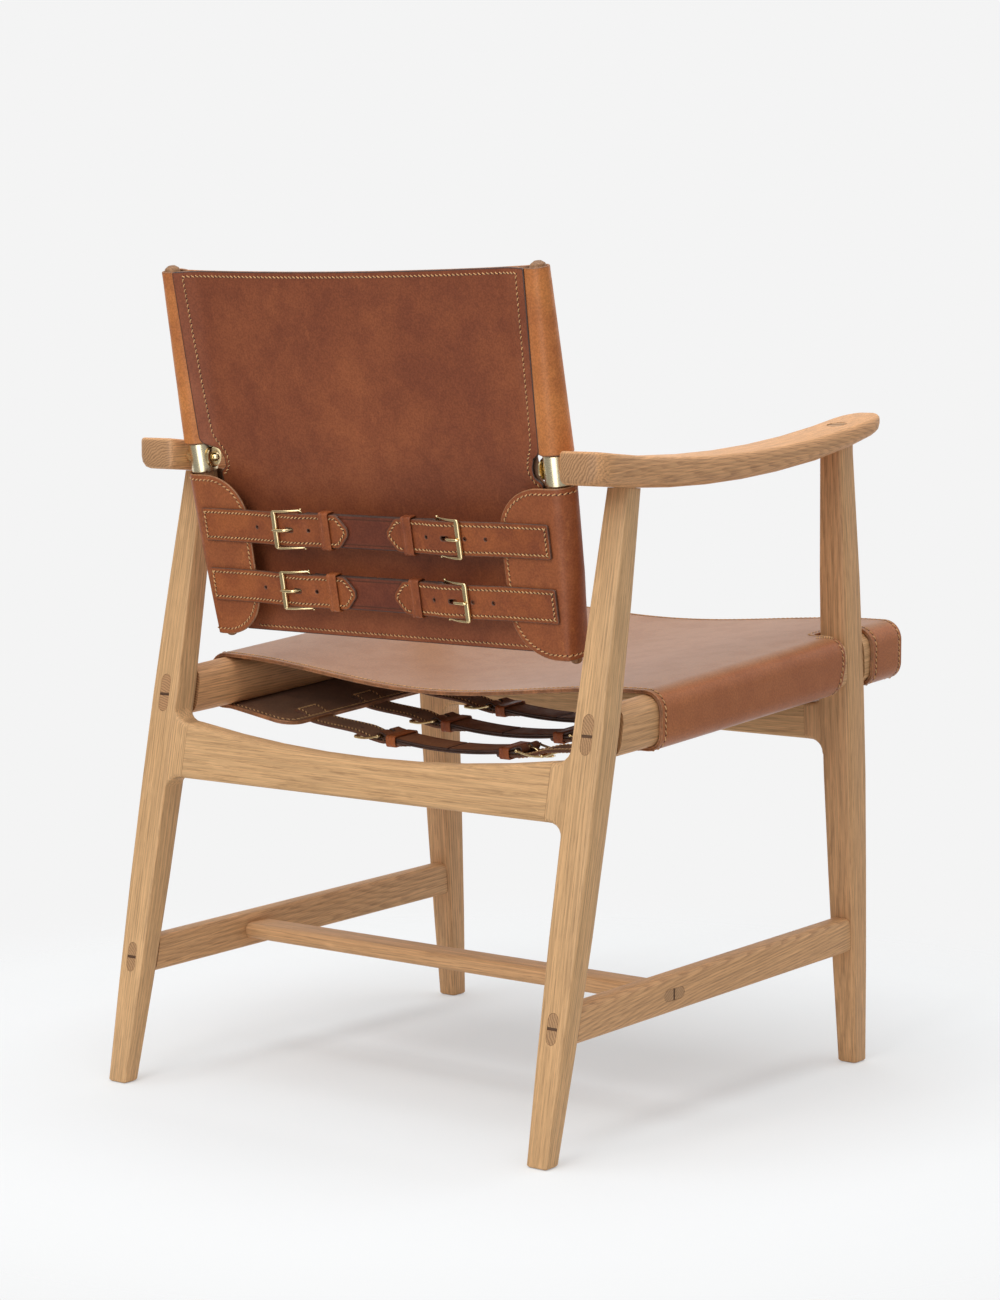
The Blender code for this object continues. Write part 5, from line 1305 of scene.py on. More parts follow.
    def build(self) -> None:
        """Build the front sheet and the rear panel with their seams."""
        face, behind = self.front_face()
        outline, edge = self.front_outline(behind)
        sheet = Hide(face, outline, self.leather, spacing=self.spacing)
        finishes = (self.done.sleeve, self.done.tan_edge, self.done.flesh)
        front = sheet.laid().piece("back_front_sheet", finishes)
        settle(front, "backrest", "saddle_leather", "back_leather")
        threads = MeshStock()
        thread = Thread(5.2 * MM)
        rising = edge[::-1]
        flap_row = (rising + inward(rising) * self.seam_inset)[2:-2]
        starts = ((-1, self.bottom + self.seam_inset), (0, -self.gap_half - self.seam_inset))
        low, high = [(edge[k, 0] - 41 * MM, w) for k, w in starts]
        flap_row = np.vstack([low, flap_row, high])
        height = self.leather / 2
        beside = self.seam - 2 * MM
        column = np.array([(beside, self.gap_half + 5 * MM), (beside, self.top - 6 * MM)])
        for sign in (1, -1):
            thread.sew(threads, face, flap_row[::sign] * (sign, 1), height)
            thread.sew(threads, face, column * (sign, 1), height, tops=(1,))
        for w in (self.bottom + self.seam_inset, self.top - self.seam_inset):
            row = np.array([(-self.seam + 4 * MM, w), (self.seam - 4 * MM, w)])
            thread.sew(threads, face, row, height, tops=(1,))
        self.build_panel(threads)
        sewn = threads.piece("back_seam_thread", (self.done.thread, self.done.hole))
        settle(sewn, "backrest", "saddle_leather")
        LOG.info("back leather: front sheet %.0f cm2", sheet.area() * 1e4)

    def panel_line(self, w: float, notched: float) -> np.ndarray:
        """Line of the rear panel from the middle outward.

        Args:
            w: Place along the back.
            notched: 0 beside the bolts and below them, 1 where the panel mounts the post sleeves.

        Returns:
            The line's points as (across, rearward).
        """
        lift = self.panel_lift
        lie = self.front_out(w) + self.leather + 0.35 * MM
        depth = self.wrap_radius(w) + 0.3 * MM + self.leather / 2
        edge = self.panel_edge + POST_SPLAY * w
        flat = [(self.notch * s, lie) for s in (0, 0.4, 0.8)] + [(self.seam - 14 * MM, lie)]
        up = [(self.seam - 4 * MM, lie + lift * notched)]
        for x in ((self.seam + edge) / 2, edge, edge + 6 * MM):
            share = min((x - self.seam) / (self.post_x(w) - self.seam), 1.0)
            rise = lie + lift + (depth - lie - lift) * share + 0.9 * MM * math.sin(math.pi * share)
            up.append((x, lie + (rise - lie) * notched))
        return soft_line(flat + up, 3)

    def build_panel(self, threads: MeshStock) -> None:
        """Build the rear panel.

        Args:
            threads: Where its seams go.
        """
        rows = np.linspace(self.bottom - self.margin, self.top + self.margin, 124)
        across = np.linspace(-226 * MM, 226 * MM, 301)
        lines = [self.panel_line(w, ease(w, 0.3 * self.gap_half, self.gap_half)) for w in rows]
        face = self.face_along(rows, across, lines, -1.0)
        low_edge = self.panel_edge + POST_SPLAY * self.gap_half + 1.2 * MM
        top_edge = self.panel_edge + POST_SPLAY * self.top + 1.2 * MM
        notch = self.notch
        half = [(notch + 10 * MM, self.bottom, 2 * MM), (notch + 10 * MM, -self.gap_half, 6 * MM),
                (notch + 2 * MM, -9 * MM, 5 * MM), (notch + 2 * MM, 0.0, 5 * MM),
                (notch + 6 * MM, 9 * MM, 5 * MM), (low_edge, self.gap_half + 1.5 * MM, 9 * MM),
                (top_edge, self.top, 2 * MM)]
        hide = Hide(face, both_sides(half), self.leather, spacing=self.spacing)
        finishes = (self.done.panel, self.done.dark_edge, self.done.flesh)
        panel = hide.laid().piece("back_rear_panel", finishes)
        settle(panel, "backrest", "saddle_leather", "back_panel")
        bend = ((197, -18), (190.5, -13), (186.5, -6), (186.5, 2), (189.5, 10), (195.5, 18), (199.5, 28))
        column = [(a * MM, b * MM) for a, b in bend] + [(206 * MM, self.top - self.seam_inset)]
        column = soft_line(column, 3)
        row = np.vstack([column, (column * (-1, 1))[::-1]])
        thread = Thread(5.0 * MM, 0.55 * MM, 1.0 * MM)
        thread.sew(threads, face, row, self.leather / 2, tops=(1,))
        end = self.notch - 8 * MM
        low = np.array([(-end, self.bottom + self.seam_inset), (end, self.bottom + self.seam_inset)])
        thread.sew(threads, face, low, self.leather / 2, tops=(1,))


@dataclass
class PivotFittings:
    """Brass sleeve on each post and the bolt that it turns on."""

    done: Finishes
    place: Matrix
    post_radius: float = 11.2 * MM
    sleeve_radius: float = 13.0 * MM
    sleeve_long: float = 28.6 * MM
    boss_radius: float = 6.0 * MM
    arm_face: float = 238.5 * MM
    bolt_radius: float = 3.5 * MM
    disc_radius: float = 10.5 * MM
    disc_thick: float = 2.2 * MM
    cone_radius: float = 4.6 * MM
    cone_long: float = 6.5 * MM
    rim_round: float = 0.7 * MM

    def build(self) -> None:
        """Build both sleeves and both bolts."""
        for side in Side:
            self.sleeve(side)
            self.bolt(side)

    def sleeve(self, side: Side) -> None:
        """Build a sleeve with rounded rims and the boss that keeps it off the armrest.

        Args:
            side: The side of the chair.
        """
        half, edge = self.sleeve_long / 2, self.rim_round
        inner = self.post_radius + CLEARANCE
        lean = Vector((side.value * POST_SPLAY, 0, 1)).normalized()
        middle = Vector((side.value * POST_SPREAD, 0, 0))
        rim = arc((half - edge, self.sleeve_radius - edge), edge, 90, 0, 4).tolist()
        profile = [(-half, inner)] + [(-p, r) for p, r in reversed(rim)] + rim + [(half, inner)]
        stock = MeshStock()
        stock.add_tube(moved(lathe(profile, middle, middle + lean, 56), self.place), closed=True)
        start, end = POST_SPREAD + self.post_radius + 0.6 * MM, self.arm_face - CLEARANCE
        long, radius, bevel = end - start, self.boss_radius, 0.5 * MM
        boss = [(0, radius), (long - bevel, radius), (long, radius - bevel)]
        rings = lathe(boss, (side.value * start, 0, 0), (side.value * end, 0, 0), 32)
        stock.add_tube(moved(rings, self.place))
        made = stock.piece(f"pivot_sleeve_brass_{side.word}", (self.done.sleeve_brass,), 35)
        settle(made, "backrest", "brass", f"pivot_sleeve_{side.word}")

    def bolt(self, side: Side) -> None:
        """Build a bolt: shank, domed disc against the sleeve and a coned end.

        Args:
            side: The side of the chair.
        """
        face = POST_SPREAD - self.sleeve_radius - CLEARANCE
        back, edge, groove = face - self.disc_thick, self.rim_round, 0.35 * MM
        profile = [(back - self.cone_long * share, self.cone_radius * math.sqrt(1 - share ** 2.4))
                   for share in (0.995, 0.97, 0.9, 0.8, 0.65, 0.45, 0.2, 0.0)]
        profile.insert(0, (profile[0][0] - 0.05 * MM, 0.2 * MM))
        profile += [(back, self.cone_radius + 0.6 * MM), (back - groove, self.cone_radius + 1.0 * MM),
                    (back - groove, self.disc_radius - 2 * edge), (back, self.disc_radius - edge),
                    (back + edge, self.disc_radius), (face - 0.3 * MM, self.disc_radius),
                    (face, self.disc_radius - 0.3 * MM), (face, self.bolt_radius),
                    (self.arm_face + 20 * MM, self.bolt_radius)]
        middle = self.place.translation
        start = Vector((0, middle.y, middle.z))
        stock = MeshStock()
        stock.add_tube(lathe(profile, start, start + Vector((side.value, 0, 0))))
        made = stock.piece(f"pivot_bolt_brass_{side.word}", (self.done.buckle,), 35)
        settle(made, "frame", "brass", f"pivot_bolt_{side.word}")


# Straps and buckles

@dataclass
class Strap:
    """A buckled strap: belt between two heel bars, and a billet through a buckle at either side.

    Its own frame has X across the chair, Y outward and Z along the strap's width. The name of the solid
    that a billet is part of holds {side} where the side's word goes.
    """

    name: str
    body: str
    place: Matrix
    done: Finishes
    heel_x: float
    heel_out: float
    sag: float
    roots: list[Pair]
    tip_x: float
    keeper_x: float
    hole_steps: tuple[int, ...]
    billet_solid: str
    wide: float = 33 * MM
    billet_thick: float = 2.6 * MM
    belt_thick: float = 4.6 * MM
    wire: float = 1.75 * MM
    arm: float = 1.15 * MM
    bar: float = 2.9 * MM
    heel_bar: float = 1.6 * MM
    buckle_long: float = 29 * MM
    buckle_rise: float = 7.8 * MM
    loop_radius: float = 4.4 * MM
    hole_pitch: float = 23 * MM
    keeper_wide: float = 12 * MM
    keeper_thick: float = 1.8 * MM
    seam_inset: float = 3.9 * MM
    slot_half: Pair = (4.75 * MM, 2.2 * MM)
    hole_radius: float = 1.6 * MM
    point_long: float = 12 * MM
    point_half: float = 3.2 * MM

    def __post_init__(self) -> None:
        """Work out how far the buckles tilt with the belt."""
        self.tilt = math.atan2(2 * self.sag, self.heel_x)

    def belt_out(self, x: float) -> float:
        """Middle of the belt's thickness at a place across the chair."""
        return self.heel_out + self.sag * (1 - (x / self.heel_x) ** 2)

    def at_buckle(self, forth: float, out: float) -> Pair:
        """Point of the strap's frame, given in the buckle's: towards the billet's root, and outward."""
        c, s = math.cos(self.tilt), math.sin(self.tilt)
        return self.heel_x + forth * c + out * s, self.heel_out - forth * s + out * c

    def face_of(self, line: np.ndarray, side: int) -> Face:
        """Face that a flat strap follows along a line.

        Args:
            line: The line's points as (across, outward).
            side: 1 at the sitter's left, -1 at the right.

        Returns:
            The face.
        """
        long = lengths(line)[-1]
        places = np.linspace(0, long, max(30, int(long / (0.8 * MM))))
        x, y = read_line(line, places).T
        rows = np.linspace(-self.wide / 2 - 1 * MM, self.wide / 2 + 1 * MM, 5)
        table = np.array([np.stack([side * x, y, np.full(len(x), w)], axis=1) for w in rows])
        return Face(places, rows, moved(table, self.place), float(side))

    @staticmethod
    def chair_places(face: Face) -> np.ndarray:
        """Place across the chair of each column of a strap's face."""
        return face.points[len(face.down) // 2, :, 0]

    def billet_line(self) -> np.ndarray:
        """Middle line of a billet: root, under the outer bar, over the heel bar, to its tip.

        Returns:
            The line's points as (across, outward).
        """
        half = self.billet_thick / 2
        lift = self.loop_radius + CLEARANCE + half
        rest = self.belt_thick / 2 + CLEARANCE + half
        bar = self.buckle_rise - self.wire - CLEARANCE - half
        under = ((self.buckle_long + 6 * MM, bar - 0.8 * MM), (self.buckle_long - 2 * MM, bar - 0.2 * MM))
        over = ((12 * MM, lift + 0.1 * MM), (4 * MM, lift), (-4 * MM, lift))
        line = list(self.roots) + [self.at_buckle(forth, out) for forth, out in under + over]
        for x in np.linspace(self.heel_x - 13 * MM, self.tip_x, 6):
            slope = 2 * self.sag * x / self.heel_x ** 2
            stretch = math.sqrt(1 + slope * slope)
            line.append((x + rest * slope / stretch, self.belt_out(x) + rest / stretch))
        return soft_line(line, 3)

    def build(self) -> None:
        """Build every piece of the strap."""
        threads = MeshStock()
        for side in Side:
            self.billet(side, threads)
            self.buckle(side)
            self.prong(side)
        self.belt()
        made = threads.piece(f"{self.name}_thread", (self.done.thread, self.done.hole))
        settle(made, self.body, "saddle_leather")

    def billet(self, side: Side, threads: MeshStock) -> None:
        """Build a billet with its sewn border, pointed tip, prong slot and punched holes.

        Args:
            side: The side of the chair.
            threads: Where its seam goes.
        """
        face = self.face_of(self.billet_line(), side.value)
        start, end, half, point = 0.3 * MM, float(face.across[-1]), self.wide / 2, self.point_half
        shoulder = end - self.point_long
        outline = fillet([(start, -half, 2.5 * MM), (shoulder, -half, 8 * MM), (end, -point, 5 * MM),
                          (end, point, 5 * MM), (shoulder, half, 8 * MM), (start, half, 2.5 * MM)])
        prong_x, _ = self.at_buckle(11.5 * MM, self.loop_radius)
        off = self.chair_places(face) * side.value - prong_x
        slot_at, *holes_at = [float(face.across[np.argmin(np.abs(off - step * self.hole_pitch))])
                              for step in (0,) + self.hole_steps]
        long, wide = self.slot_half
        corners = ((-1, -1), (1, -1), (1, 1), (-1, 1))
        slot = fillet([(slot_at + a * long, b * wide, 2.1 * MM) for a, b in corners], 0.6 * MM)[::-1]
        holes = [slot] + [arc((place, 0.0), self.hole_radius, 0, -324, 10) for place in holes_at]
        hide = Hide(face, outline, self.billet_thick, holes, 2, 3.0 * MM, stitch_inset=self.seam_inset)
        finishes = (self.done.strap, self.done.strap_edge, self.done.flesh)
        made = hide.laid().piece(f"{self.name}_billet_leather_{side.word}", finishes)
        settle(made, self.body, "saddle_leather", self.billet_solid.format(side=side.word))
        Thread(4.6 * MM).sew_round(threads, face, outline, self.seam_inset, self.billet_thick / 2)

    def belt(self) -> None:
        """Build the belt: one strip folded round both heel bars, with a keeper beside each."""
        thin = self.belt_thick / 2 - 0.1 * MM
        apart = self.belt_thick / 2 - thin / 2
        xs = np.linspace(0, self.heel_x - 11 * MM, 12)
        lower = [(x, self.belt_out(x) - apart) for x in xs]
        upper = [(x, self.belt_out(x) + apart) for x in xs[::-1]]
        radius = self.loop_radius - thin / 2 - 0.1 * MM
        fold = arc((self.heel_x, self.heel_out), radius, -105, 105, 15).tolist()
        half_line = soft_line(lower + fold + upper, 2)
        line = np.vstack([half_line, (half_line * (-1, 1))[::-1][1:]])
        face = self.face_of(line[:-1], 1)
        start, end = 0.2 * MM, float(face.across[-1]) - 0.2 * MM
        bevel, half = 1 * MM, self.wide / 2
        waist = half - 1.4 * MM
        eyes, trims = [], [(start, half)]
        for sign in (1, -1):
            near = np.flatnonzero(self.chair_places(face) * sign > self.heel_x - 5.2 * MM)
            low, high = float(face.across[near[0]]), float(face.across[near[-1]])
            eye = ((low, -2 * MM), (high, -2 * MM), (high, 2 * MM), (low, 2 * MM))
            eyes.append(fillet([(a, b, bevel) for a, b in eye], 0.5 * MM)[::-1])
            trims += [(low - bevel, half), (low + bevel, waist), (high - bevel, waist), (high + bevel, half)]
        trims.append((end, half))
        outline = fillet([(a, -b, bevel) for a, b in trims] + [(a, b, bevel) for a, b in reversed(trims)])
        stock = Hide(face, outline, thin, eyes, 1, 2.6 * MM, crease_inset=4 * MM).laid()
        for sign in (1, -1):
            self.keeper(stock, sign * self.keeper_x)
        leather = self.done.belt if self.body == "backrest" else self.done.under
        finishes = (leather, self.done.dark_edge, self.done.flesh, self.done.strap)
        made = stock.piece(f"{self.name}_belt_leather", finishes)
        settle(made, self.body, "belt_leather", f"{self.name}_belt")

    def keeper(self, stock: MeshStock, x: float) -> None:
        """Build a loop of leather round belt and billet, with rolled edges and a creased border.

        Args:
            stock: Where the loop goes.
            x: Place across the chair.
        """
        out, thick = self.belt_out(x), self.keeper_thick / 2
        low = out - self.belt_thick / 2 - thick
        high = out + self.belt_thick / 2 + self.billet_thick + 1.2 * MM + thick
        half = self.wide / 2 + 0.6 * MM + thick
        corners = ((-half, low), (half, low), (half, high), (-half, high))
        loop = respaced(fillet([(a, b, 2 * MM) for a, b in corners], 0.8 * MM), 2.5 * MM)
        line = np.stack([np.full(len(loop), x), loop[:, 1], loop[:, 0]], axis=1)
        wide, rolled = self.keeper_wide / 2, 0.8 * MM
        crease = [(wide - 3.2 * MM, thick), (wide - 3.7 * MM, thick - 0.35 * MM), (wide - 4.2 * MM, thick)]
        section = []
        for a, b, start in ((1, 1, 0), (-1, 1, 90), (-1, -1, 180), (1, -1, 270)):
            section += arc((a * (wide - rolled), b * (thick - rolled)), rolled, start, start + 90, 4).tolist()
            if b > 0:
                section += [(a * place, deep) for place, deep in crease[::a]]
        away = np.stack([np.zeros(len(loop)), *(-inward(loop)).T[::-1]], axis=1)
        section = np.array(section)
        rings = line[:, None, :] + section[:, :1] * np.array((1.0, 0, 0)) + section[:, 1:] * away[:, None, :]
        stock.add_tube(moved(rings, self.place)[::-1], Skin.KEEPER, closed=True)

    def buckle(self, side: Side) -> None:
        """Build a buckle: heel bar, two rising arms and the flat-faced outer bar.

        Args:
            side: The side of the chair.
        """
        long, half, bar_run = self.buckle_long, self.wide / 2 + 0.7 * MM + self.arm, 2.2 * MM
        corners = ((0, -half), (long, -half), (long, half), (0, half))
        loop = respaced(fillet([(a, b, 2.6 * MM) for a, b in corners], 0.6 * MM), 1.5 * MM)
        line = []
        for forth, across in loop:
            rise = self.buckle_rise * math.sin(math.pi / 2 * min(max(forth / long, 0.0), 1.0))
            x, y = self.at_buckle(forth, rise)
            line.append((side.value * x, y, across))
        up = np.array((side.value * math.sin(self.tilt), math.cos(self.tilt), 0))
        line = np.array(line)
        rings = sweep(line, squarish(1.0, 1.0, 3.0, 20), up, closed=True) - line[:, None, :]
        high = (rings @ up)[:, :, None] * up
        outer = np.array([ease(forth, long - bar_run, long) for forth, _ in loop])[:, None, None]
        heel = np.array([1 - ease(forth, 0, bar_run) for forth, _ in loop])[:, None, None]
        wide = self.arm + (self.bar - self.arm) * outer + (self.heel_bar - self.arm) * heel
        tall = self.arm + (self.wire - self.arm) * outer
        stock = MeshStock()
        rings = line[:, None, :] + (rings - high) * wide + high * tall
        stock.add_tube(moved(rings, self.place), closed=True)
        knob = [(a * MM, r * MM) for a, r in ((0, 1.0), (0.1, 1.5), (0.9, 1.5), (1.2, 1.2), (1.35, 0.7))]
        for sign in (1, -1):
            start = Vector((side.value * self.heel_x, self.heel_out, sign * (half + self.arm - 0.4 * MM)))
            stock.add_tube(moved(lathe(knob, start, start + Vector((0, 0, sign)), 20), self.place))
        made = stock.piece(f"{self.name}_buckle_brass_{side.word}", (self.done.buckle,), 40)
        settle(made, self.body, "brass", f"{self.name}_buckle_{side.word}")

    def prong(self, side: Side) -> None:
        """Build a prong: an eye on the heel bar and a tongue that rests on the outer bar.

        Args:
            side: The side of the chair.
        """
        rest = self.buckle_rise + self.wire + CLEARANCE + 1.2 * MM
        line = [(2.6 * MM, 0.6 * MM), (8 * MM, 0.6 * MM), (12 * MM, 4.5 * MM)]
        line += [(a * MM, rest - drop * MM) for a, drop in ((15, 1.6), (20, 0.3), (26, 0), (31.6, 0.1))]
        line = soft_line(line, 3)
        points = np.stack([side.value * line[:, 0], line[:, 1], np.zeros(len(line))], axis=1)
        rings = sweep(points, squarish(1.5 * MM, 1.15 * MM, 2.4, 14), (0, 1, 0))
        run = lengths(points)
        slim = np.clip((run[-1] - run) / (3 * MM), 0.35, 1.0)[:, None, None]
        rings = points[:, None, :] + (rings - points[:, None, :]) * slim
        place = self.place @ Matrix.Translation((side.value * self.heel_x, self.heel_out, 0))
        place = place @ Matrix.Rotation(-side.value * self.tilt, 4, "Z")
        stock = MeshStock()
        stock.add_tube(moved(rings, place))
        edge, inner, outer, half = 0.4 * MM, self.wire + 0.35 * MM, 3.5 * MM, 1.7 * MM
        profile = [(-half + edge, inner), (-half, inner + edge), (-half, outer - edge), (-half + edge, outer),
                   (half - edge, outer), (half, outer - edge), (half, inner + edge), (half - edge, inner)]
        stock.add_tube(moved(lathe(profile, (0, 0, 0), (0, 0, 1), 28), place), closed=True)
        name = f"{self.name}_prong_{side.word}"
        made = stock.piece(f"{name}_brass", (self.done.buckle,), 40)
        settle(made, name, "brass", name)


# The seat

@dataclass
class SeatSling:
    """Seat leather over the side rails, slotted round the front legs and drawn together underneath."""

    done: Finishes
    leather: float = 4.0 * MM
    rear_y: float = 130.5 * MM
    front_y: float = -293.3 * MM
    rear_sag: float = 19 * MM
    front_sag: float = 13.5 * MM
    leg_spread: float = 264 * MM
    leg_wide: float = 33.5 * MM
    rail_wide: float = 33 * MM
    rail_rear_y: float = 182.8 * MM
    rail_front_y: float = -293.5 * MM
    rail_rear_top: float = 409 * MM
    rail_slope: float = 0.081
    rail_deep: Pair = (48 * MM, 51.5 * MM)
    top_round: float = 15.5 * MM
    bottom_round: float = 12.5 * MM
    flap_x: float = 175 * MM
    flap_drop: float = 13 * MM
    slot: Pair = (-238.0 * MM, -185.5 * MM)
    strap_ys: Triple = (79.5 * MM, -7.5 * MM, -97.5 * MM)
    slit_half: Pair = (2 * MM, 17.4 * MM)
    seam_inset: float = 5.5 * MM

    def rail_top(self, y: float) -> float:
        """Top of the side rail at a depth."""
        return self.rail_rear_top + self.rail_slope * (self.rail_rear_y - y)

    def rail_bottom(self, y: float) -> float:
        """Underside of the side rail at a depth."""
        share = (self.rail_rear_y - y) / (self.rail_rear_y - self.rail_front_y)
        return self.rail_top(y) - self.rail_deep[0] - (self.rail_deep[1] - self.rail_deep[0]) * share

    def seat_line(self, y: float) -> tuple[np.ndarray, dict[str, float]]:
        """Line of the leather from the middle, over the rail, round it and under.

        Args:
            y: Depth of the line.

        Returns:
            The line's points as (across, height), and distances along it to its marks.
        """
        top, bottom, off = self.rail_top(y), self.rail_bottom(y), CLEARANCE + self.leather / 2
        slot_top = self.leg_spread - self.leg_wide / 2 - 1.5 * MM
        share = (self.rear_y - y) / (self.rear_y - self.rail_front_y)
        sag = self.rear_sag + (self.front_sag - self.rear_sag) * share
        xs = np.linspace(0, slot_top, 60)
        hang = sag * np.cos(math.pi / 2 * np.minimum(xs / self.leg_spread, 1)) ** 2
        over = np.stack([xs, top + off - hang], axis=1)
        outer, high, low = self.leg_spread + self.rail_wide / 2, self.top_round, self.bottom_round
        corner_top = arc((outer - high, top - high), high + off, 90, 0, 14)
        corner_low = arc((outer - low, bottom + low), low + off, 0, -90, 12)
        leave = self.leg_spread - self.rail_wide / 4
        slot_under = self.leg_spread - self.leg_wide / 2 - 7 * MM
        drop = self.flap_drop * (leave - slot_under) / (leave - self.flap_x)
        under = soft_line([(leave + 3 * MM, bottom - off), (leave, bottom - off - 0.2 * MM),
                           (slot_under, bottom - off - drop),
                           (self.flap_x, bottom - off - self.flap_drop)], 2)
        line = np.vstack([over, corner_top, corner_low, under])
        run = lengths(line)
        rail, side, under_rail = np.cumsum([len(over), len(corner_top), len(corner_low)])
        marks = {"slot": run[rail - 1], "rail": run[rail], "outer": run[side - 1],
                 "leave": run[under_rail], "flap": run[-1]}
        return line, marks

    def face(self) -> tuple[Face, MarkReading]:
        """Face of the seat leather.

        Returns:
            The face, and a reading of where a mark lies along it at a depth.
        """
        rows = np.linspace(self.front_y - 2 * MM, self.rear_y + 2 * MM, 86)
        across = np.linspace(-425 * MM, 425 * MM, 681)
        table, marks = [], []
        for y in rows:
            line, mark = self.seat_line(y)
            marks.append(mark)
            read = read_line(line, np.abs(across))
            table.append(np.stack([np.sign(across) * read[:, 0], 0 * across + y, read[:, 1]], axis=1))
        face = Face(across, rows, np.array(table))
        return face, lambda name, y: float(np.interp(y, rows, [mark[name] for mark in marks]))

    def build(self) -> None:
        """Build the seat leather with its sewn edges, and its three straps."""
        face, mark = self.face()
        low, high = self.slot
        half = [(mark("leave", self.front_y), self.front_y, 14 * MM), (mark("leave", low), low, 12 * MM),
                (mark("slot", low), low, 5 * MM), (mark("slot", high), high, 5 * MM),
                (mark("rail", high) + 3 * MM, high, 0),
                (mark("outer", high) + 10 * MM, high - 1 * MM, 16 * MM),
                (mark("leave", high), high + 14 * MM, 14 * MM), (mark("flap", high), high + 22 * MM, 20 * MM),
                (mark("flap", self.rear_y), self.rear_y, 22 * MM)]
        outline = both_sides(half)
        wide, long = self.slit_half
        slits = []
        for y in self.strap_ys:
            x = mark("flap", y) - 9 * MM
            corners = ((-1, -1), (1, -1), (1, 1), (-1, 1))
            slit = [(x + a * wide, y + b * long, 1.9 * MM) for a, b in corners]
            slits.append(fillet(slit[::-1], 0.7 * MM))
            slits.append(fillet([(-a, b, radius) for a, b, radius in slit], 0.7 * MM))
        hide = Hide(face, outline, self.leather, slits, 2, 4.2 * MM, stitch_inset=self.seam_inset)
        finishes = (self.done.seat, self.done.tan_edge, self.done.flesh)
        seat = hide.laid().piece("seat_sling_leather", finishes)
        settle(seat, "frame", "saddle_leather", "seat_leather")
        threads = MeshStock()
        Thread(5.6 * MM, 0.5 * MM).sew_round(threads, face, outline, self.seam_inset, self.leather / 2)
        self.slot_bars(threads, face, mark)
        sewn = threads.piece("seat_seam_thread", (self.done.thread, self.done.hole))
        settle(sewn, "frame", "saddle_leather")
        self.straps()

    def slot_bars(self, threads: MeshStock, face: Face, mark: MarkReading) -> None:
        """Sew the short bar at the rear corner of each leg slot.

        Args:
            threads: Where the stitches go.
            face: The face of the seat leather.
            mark: Reading of where a mark lies along it.
        """
        rail = mark("rail", -180 * MM)
        for sign in (1, -1):
            bar = np.array([(rail + 7 * MM, -181 * MM), (rail - 4 * MM, -168 * MM)]) * (sign, 1)
            Thread(2.6 * MM, 0.75 * MM, 2.0 * MM).sew(threads, face, bar, self.leather / 2, tops=(1,))

    def straps(self) -> None:
        """Build the three straps under the seat."""
        slope = math.atan(self.rail_slope)
        start = CLEARANCE + self.leather / 2
        leave = self.leg_spread - self.rail_wide / 4
        roots = []
        for inset, off in ((27 * MM, -3.7 * MM), (15 * MM, -3.6 * MM), (9 * MM, 0.0), (3 * MM, 3.4 * MM)):
            x = self.flap_x + inset
            roots.append((x, start + self.flap_drop * (leave - x) / (leave - self.flap_x) + off))
        for name, y in zip(("rear", "middle", "front"), self.strap_ys):
            place = frame_at((0, y, self.rail_bottom(y)), -math.pi / 2 - slope)
            Strap(f"seat_{name}", "frame", place, self.done, heel_x=88 * MM, heel_out=25 * MM, sag=7.4 * MM,
                  roots=roots, tip_x=50 * MM, keeper_x=72 * MM, hole_steps=(1,),
                  billet_solid="seat_leather").build()


# The wood

class Run(Enum):
    """Which way the grain runs: the turn that brings an upright tree to the piece."""

    REAR_LEG = (0.196, 0.0, 0.0)
    FRONT_LEG = (-0.068, 0.0, 0.0)
    FORE_AND_AFT = (1.49, 0.0, 0.0)
    ACROSS = (0.0, 1.5708, 0.0)
    POST = (-0.196, 0.0, 0.0)


